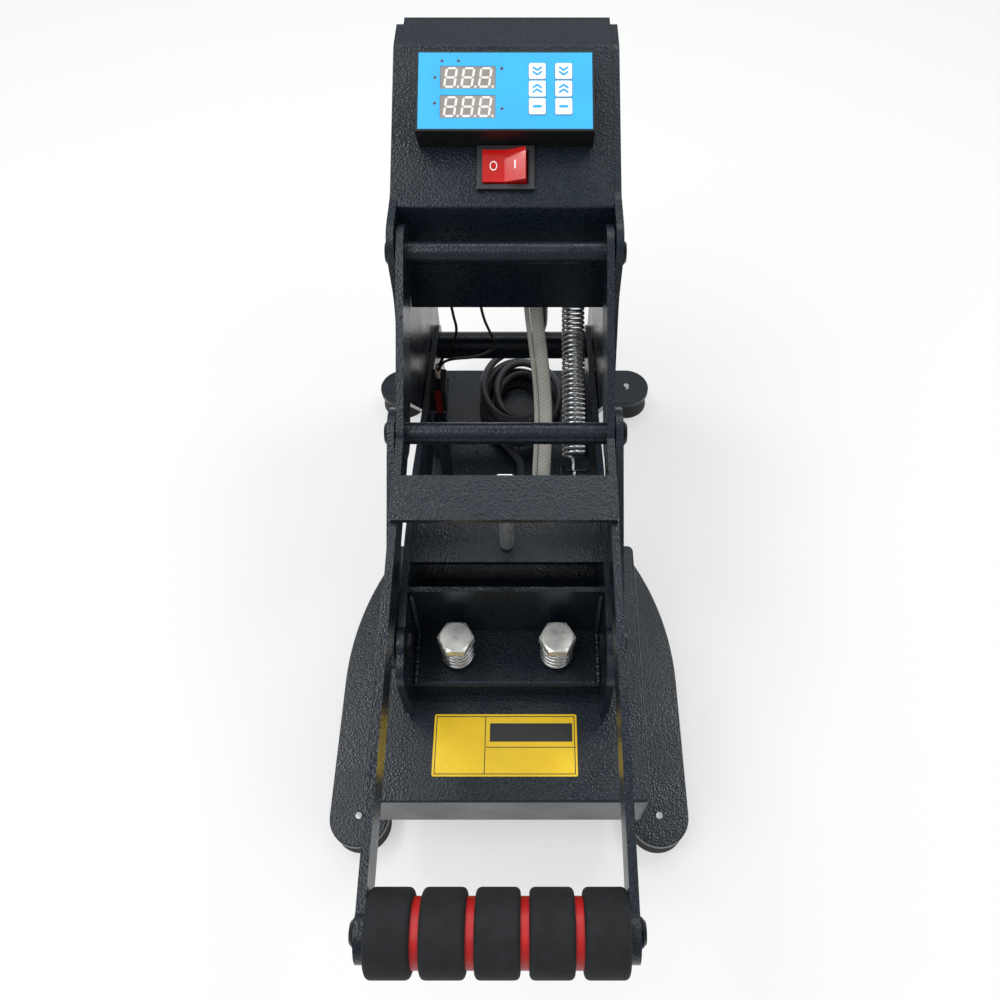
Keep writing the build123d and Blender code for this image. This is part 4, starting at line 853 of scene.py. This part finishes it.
# Lamps: across and up from the middle of the face, in mm
LAMPS = ((-33.8, 17.0), (-24.9, 17.0), (-37.4, 7.4), (-1.9, 12.6), (-37.4, -7.3), (-1.7, -10.4))


class PRESS_OT_display(bpy.types.Operator):
    """Unlit digits, decimal points and lamps on the controller's face"""

    bl_idname = "press.display"
    bl_label = "Display digits"

    def execute(self, context):
        digit_w, digit_h, stroke, thick = 5.4, 10.6, 1.25, 0.12
        pitch, middle, lean = 9.2, -19.9, 0.13
        out = FACE_OUT - 0.14
        slant = Matrix.Identity(4)
        slant[0][1] = lean
        marks = []
        for row_up in (7.5, -9.2):
            for k in range(3):
                x = middle + (k - 1) * pitch
                for sx, sy, upright in SEGMENTS:
                    length = digit_h / 2 - 0.5 if upright else digit_w - 0.6
                    bar = flat_bar(length, stroke, thick)
                    local = Matrix.Translation(((sx * digit_w / 2) * MM, (sy * digit_h / 2) * MM, 0))
                    if upright:
                        local = local @ Matrix.Rotation(pi / 2, 4, "Z")
                    bar.data.transform(panel_matrix(x, FACE_UP + row_up, out) @ slant @ local)
                    marks.append(bar)
                deselect()
                bpy.ops.mesh.primitive_cylinder_add(vertices=20, radius=0.65 * MM, depth=thick * MM)
                dot = context.object
                dot.data.transform(panel_matrix(x + 4.0, FACE_UP + row_up - 5.3, out))
                marks.append(dot)
        digits = join(marks, "display_digits")
        dress(digits, "segment", "frame")
        lamps = []
        for x, up in LAMPS:
            deselect()
            bpy.ops.mesh.primitive_uv_sphere_add(segments=24, ring_count=12, radius=0.78 * MM)
            lamp = context.object
            lamp.data.transform(panel_matrix(x, FACE_UP + up, FACE_OUT - 0.35) @ Matrix.Diagonal((1, 1, 0.8, 1)))
            smooth(lamp, 60)
            lamps.append(lamp)
        dots = join(lamps, "indicator_lamps")
        dress(dots, "lamp", "frame")
        return {"FINISHED"}


class PRESS_OT_key_marks(bpy.types.Operator):
    """Printed marks on the six keys: arrows down, arrows up and a plain bar"""

    bl_idname = "press.key_marks"
    bl_label = "Key marks"

    def execute(self, context):
        names = ("key_down_left", "key_down_right", "key_up_left", "key_up_right", "key_set_left", "key_set_right")
        places = [(x, up) for up in (10.8, 0.7, -9.4) for x in (17.0, 31.0)]
        for name, (x, up) in zip(names, places):
            bars = []
            out, half_point = KEY_OUT + 0.05, radians(38)
            if "set" in name:
                bar = flat_bar(5.4, 1.5, 0.1)
                bar.data.transform(panel_matrix(x, FACE_UP + up, out))
                bars.append(bar)
            else:
                way = 1 if "up" in name else -1
                for row in (-1.3, 1.3):
                    for side in (-1, 1):
                        bar = flat_bar(3.7, 1.1, 0.1)
                        turn = -side * way * half_point
                        bar.data.transform(panel_matrix(x + side * 1.15, FACE_UP + up + row, out, turn))
                        bars.append(bar)
            mark = join(bars, name + "_mark")
            dress(mark, "mark", name + "_body")
        return {"FINISHED"}


class PRESS_OT_rocker_marks(bpy.types.Operator):
    """The OFF ring and the ON bar printed on the rocker"""

    bl_idname = "press.rocker_marks"
    bl_label = "Rocker marks"

    def execute(self, context):
        deselect()
        bpy.ops.mesh.primitive_torus_add(
            major_segments=48, minor_segments=8, major_radius=2.1 * MM, minor_radius=0.28 * MM
        )
        ring = context.object
        ring.data.transform(panel_matrix(-6.55, ROCKER_UP, 3.66) @ Matrix.Diagonal((0.85, 1.15, 0.4, 1)))
        smooth(ring, 60)
        bar = flat_bar(5.2, 0.75, 0.12)
        bar.data.transform(panel_matrix(5.1, ROCKER_UP, 5.5, 0.0, radians(-18.6)) @ Matrix.Rotation(pi / 2, 4, "Z"))
        marks = join([ring, bar], "rocker_marks")
        dress(marks, "white_print", "rocker_body")
        return {"FINISHED"}


class PRESS_OT_foil_plate(bpy.types.Operator):
    """The plain yellow foil on the heater's cover, printed with lines and one dark bar"""

    bl_idname = "press.foil_plate"
    bl_label = "Foil plate"

    def execute(self, context):
        sizes = context.scene.press_sizes
        wide, deep = sizes.plate_width, sizes.plate_depth
        _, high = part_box("heater_cover")
        centre = Vector((-0.001, -0.111, high[2]))

        def is_upright(edge):
            return (edge.verts[0].co - edge.verts[1].co).xy.length < 1e-6

        foil = block(centre + Vector((0, 0, 0.12 * MM)), (wide, deep, 0.22 * MM))
        foil.name = "foil_plate"
        bpy.ops.object.mode_set(mode="EDIT")
        bpy.ops.mesh.select_all(action="DESELECT")
        bpy.ops.mesh.select_mode(type="EDGE")
        pick(foil, "edges", is_upright)
        bpy.ops.mesh.bevel(offset=0.0012, segments=5)
        bpy.ops.object.mode_set(mode="OBJECT")
        dress(foil, "plate", "platen")
        line, inset = 0.0005, 0.0014
        long, short = wide - 2 * inset + line, deep - 2 * inset + line
        left = -wide / 2 + wide * 0.36
        cell = wide / 2 - inset - left
        middle = left / 2 + wide / 4
        bars = (
            (0, deep / 2 - inset, long, line), (0, -deep / 2 + inset, long, line),
            (-wide / 2 + inset, 0, line, short), (wide / 2 - inset, 0, line, short), (left, 0, line, short),
            (middle, -deep * 0.04, cell, line), (middle, deep * 0.2, cell - 0.0038, deep * 0.3),
        )
        print_marks = []
        for x, y, length, width in bars:
            print_marks.append(block(centre + Vector((x, y, 0.245 * MM)), (length, width, 0.03 * MM)))
        marks = join(print_marks, "foil_print")
        dress(marks, "ink", "platen")
        return {"FINISHED"}


class PRESS_OT_welds(bpy.types.Operator):
    """Fillet welds of the channel in the carriage and of the frame plates on the base"""

    bl_idname = "press.welds"
    bl_label = "Weld beads"

    def execute(self, context):
        # Each run has its start, its end and the bead's radius, in mm
        runs = {"carriage": [], "frame": []}
        apart = 1.5 * MM
        for side in (-1, 1):
            runs["carriage"].append(((side * 52.6, -79.0, 110.8), (side * 52.6, -49.0, 110.8), 2.1))
            runs["carriage"].append(((side * 52.6, -48.4, 113.0), (side * 52.6, -48.4, 156.0), 1.9))
            runs["frame"].append(((side * 57.6, 152.0, 20.6), (side * 57.6, 228.0, 20.6), 2.0))
            runs["frame"].append(((side * 64.0, 152.0, 20.6), (side * 64.0, 228.0, 20.6), 2.0))
        deselect()
        bpy.ops.mesh.primitive_uv_sphere_add(segments=12, ring_count=7, radius=MM)
        drop = context.object
        for body, lines in runs.items():
            drops = []
            for start, end, radius in lines:
                start, end = Vector(start) * MM, Vector(end) * MM
                count = int((end - start).length / apart)
                for i in range(count + 1):
                    size = radius * (1.0 + 0.1 * sin(i * 2.4) + 0.05 * sin(i * 5.1))
                    place = start.lerp(end, i / count)
                    drops.append(copy_of(drop, Matrix.Translation(place) @ Matrix.Diagonal((size, size, size, 1))))
            bead = join(drops, body + "_weld_beads")
            smooth(bead, 60)
            dress(bead, "powder", body)
        bpy.data.objects.remove(drop)
        return {"FINISHED"}


class PRESS_OT_stage(bpy.types.Operator):
    """The floor, the soft lamps, the world and the camera"""

    bl_idname = "press.stage"
    bl_label = "Stage"

    def execute(self, context):
        scene = context.scene
        deselect()
        bpy.ops.mesh.primitive_plane_add(size=8, location=(0, 0, -0.0002))
        floor = context.object
        floor.name = "studio_floor"
        bake_place(floor)
        floor.data.materials.append(finish_of("floor"))
        aim = Vector((0, 0, 0.12))
        # Each lamp has its place and its size in metres and its power in watts
        for name, place, size, power in (
            ("key_lamp", (-0.9, -0.5, 1.9), 1.3, 18.0),
            ("fill_lamp", (1.3, -0.6, 1.5), 1.2, 6.0),
            ("back_lamp", (0.05, 0.95, 1.55), 0.55, 3.0),
            ("left_strip", (-0.7, 0.5, 1.7), 0.4, 5.5),
            ("right_strip", (0.7, 0.5, 1.7), 0.4, 5.5),
        ):
            deselect()
            bpy.ops.object.light_add(type="AREA", location=place)
            lamp = context.object
            lamp.name = name
            lamp.data.size = size
            lamp.data.energy = power
            lamp.rotation_euler = (aim - Vector(place)).to_track_quat("-Z", "Y").to_euler()
        world = bpy.data.worlds.new("studio")
        world.use_nodes = True
        world.node_tree.nodes.clear()
        sky = add_node(world.node_tree, "ShaderNodeBackground", {"Color": linear("#eef3f8"), "Strength": 0.52})
        add_node(world.node_tree, "ShaderNodeOutputWorld", {"Surface": sky.outputs["Background"]})
        scene.world = world
        scene.view_settings.view_transform = "Standard"
        # The camera is fitted to the photograph
        camera_data = bpy.data.cameras.new("camera")
        camera_data.sensor_width = 36.0
        camera_data.lens = 32.4
        camera_data.shift_x = -0.0303
        camera_data.clip_start = 0.01
        camera = bpy.data.objects.new("camera", camera_data)
        camera.location = (0.0133, -0.2775, 0.5997)
        camera.rotation_euler = (radians(33.48), 0, 0)
        scene.collection.objects.link(camera)
        scene.camera = camera
        return {"FINISHED"}


STEPS = (
    ("stage", "Stage"),
    ("cord", "Mains cord"),
    ("finishes", "Frame finishes"),
    ("foam", "Foam grip"),
    ("platen_bolts", "Platen bolts"),
    ("platen_springs", "Platen springs"),
    ("lift_spring", "Lift spring"),
    ("leads", "Inner leads"),
    ("display", "Display digits"),
    ("key_marks", "Key marks"),
    ("rocker_marks", "Rocker marks"),
    ("foil_plate", "Foil plate"),
    ("welds", "Weld beads"),
)


class PRESS_PT_panel(bpy.types.Panel):
    """Sizes, colours and steps of the press"""

    bl_idname = "PRESS_PT_panel"
    bl_label = "Heat press"
    bl_space_type = "VIEW_3D"
    bl_region_type = "UI"
    bl_category = "Press"

    def draw(self, context):
        for group in (context.scene.press_sizes, context.scene.press_colours):
            for name in group.__annotations__:
                self.layout.prop(group, name)
        for name, label in STEPS:
            self.layout.operator("press." + name, text=label)


CLASSES = (
    PressSizes, PressColours, PRESS_OT_finishes, PRESS_OT_foam, PRESS_OT_platen_bolts, PRESS_OT_platen_springs,
    PRESS_OT_lift_spring, PRESS_OT_leads, PRESS_OT_cord, PRESS_OT_display, PRESS_OT_key_marks, PRESS_OT_rocker_marks,
    PRESS_OT_foil_plate, PRESS_OT_welds, PRESS_OT_stage, PRESS_PT_panel,
)


def register():
    """Register the classes and hang the properties on the scene."""
    for item in CLASSES:
        bpy.utils.register_class(item)
    bpy.types.Scene.press_sizes = bpy.props.PointerProperty(type=PressSizes)
    bpy.types.Scene.press_colours = bpy.props.PointerProperty(type=PressColours)


def unregister():
    """Take the properties and the classes away again."""
    del bpy.types.Scene.press_colours
    del bpy.types.Scene.press_sizes
    for item in reversed(CLASSES):
        bpy.utils.unregister_class(item)


def main():
    """Run every step in order."""
    register()
    for name, _ in STEPS:
        getattr(bpy.ops.press, name)()
    deselect()


if __name__ == "__main__":
    main()
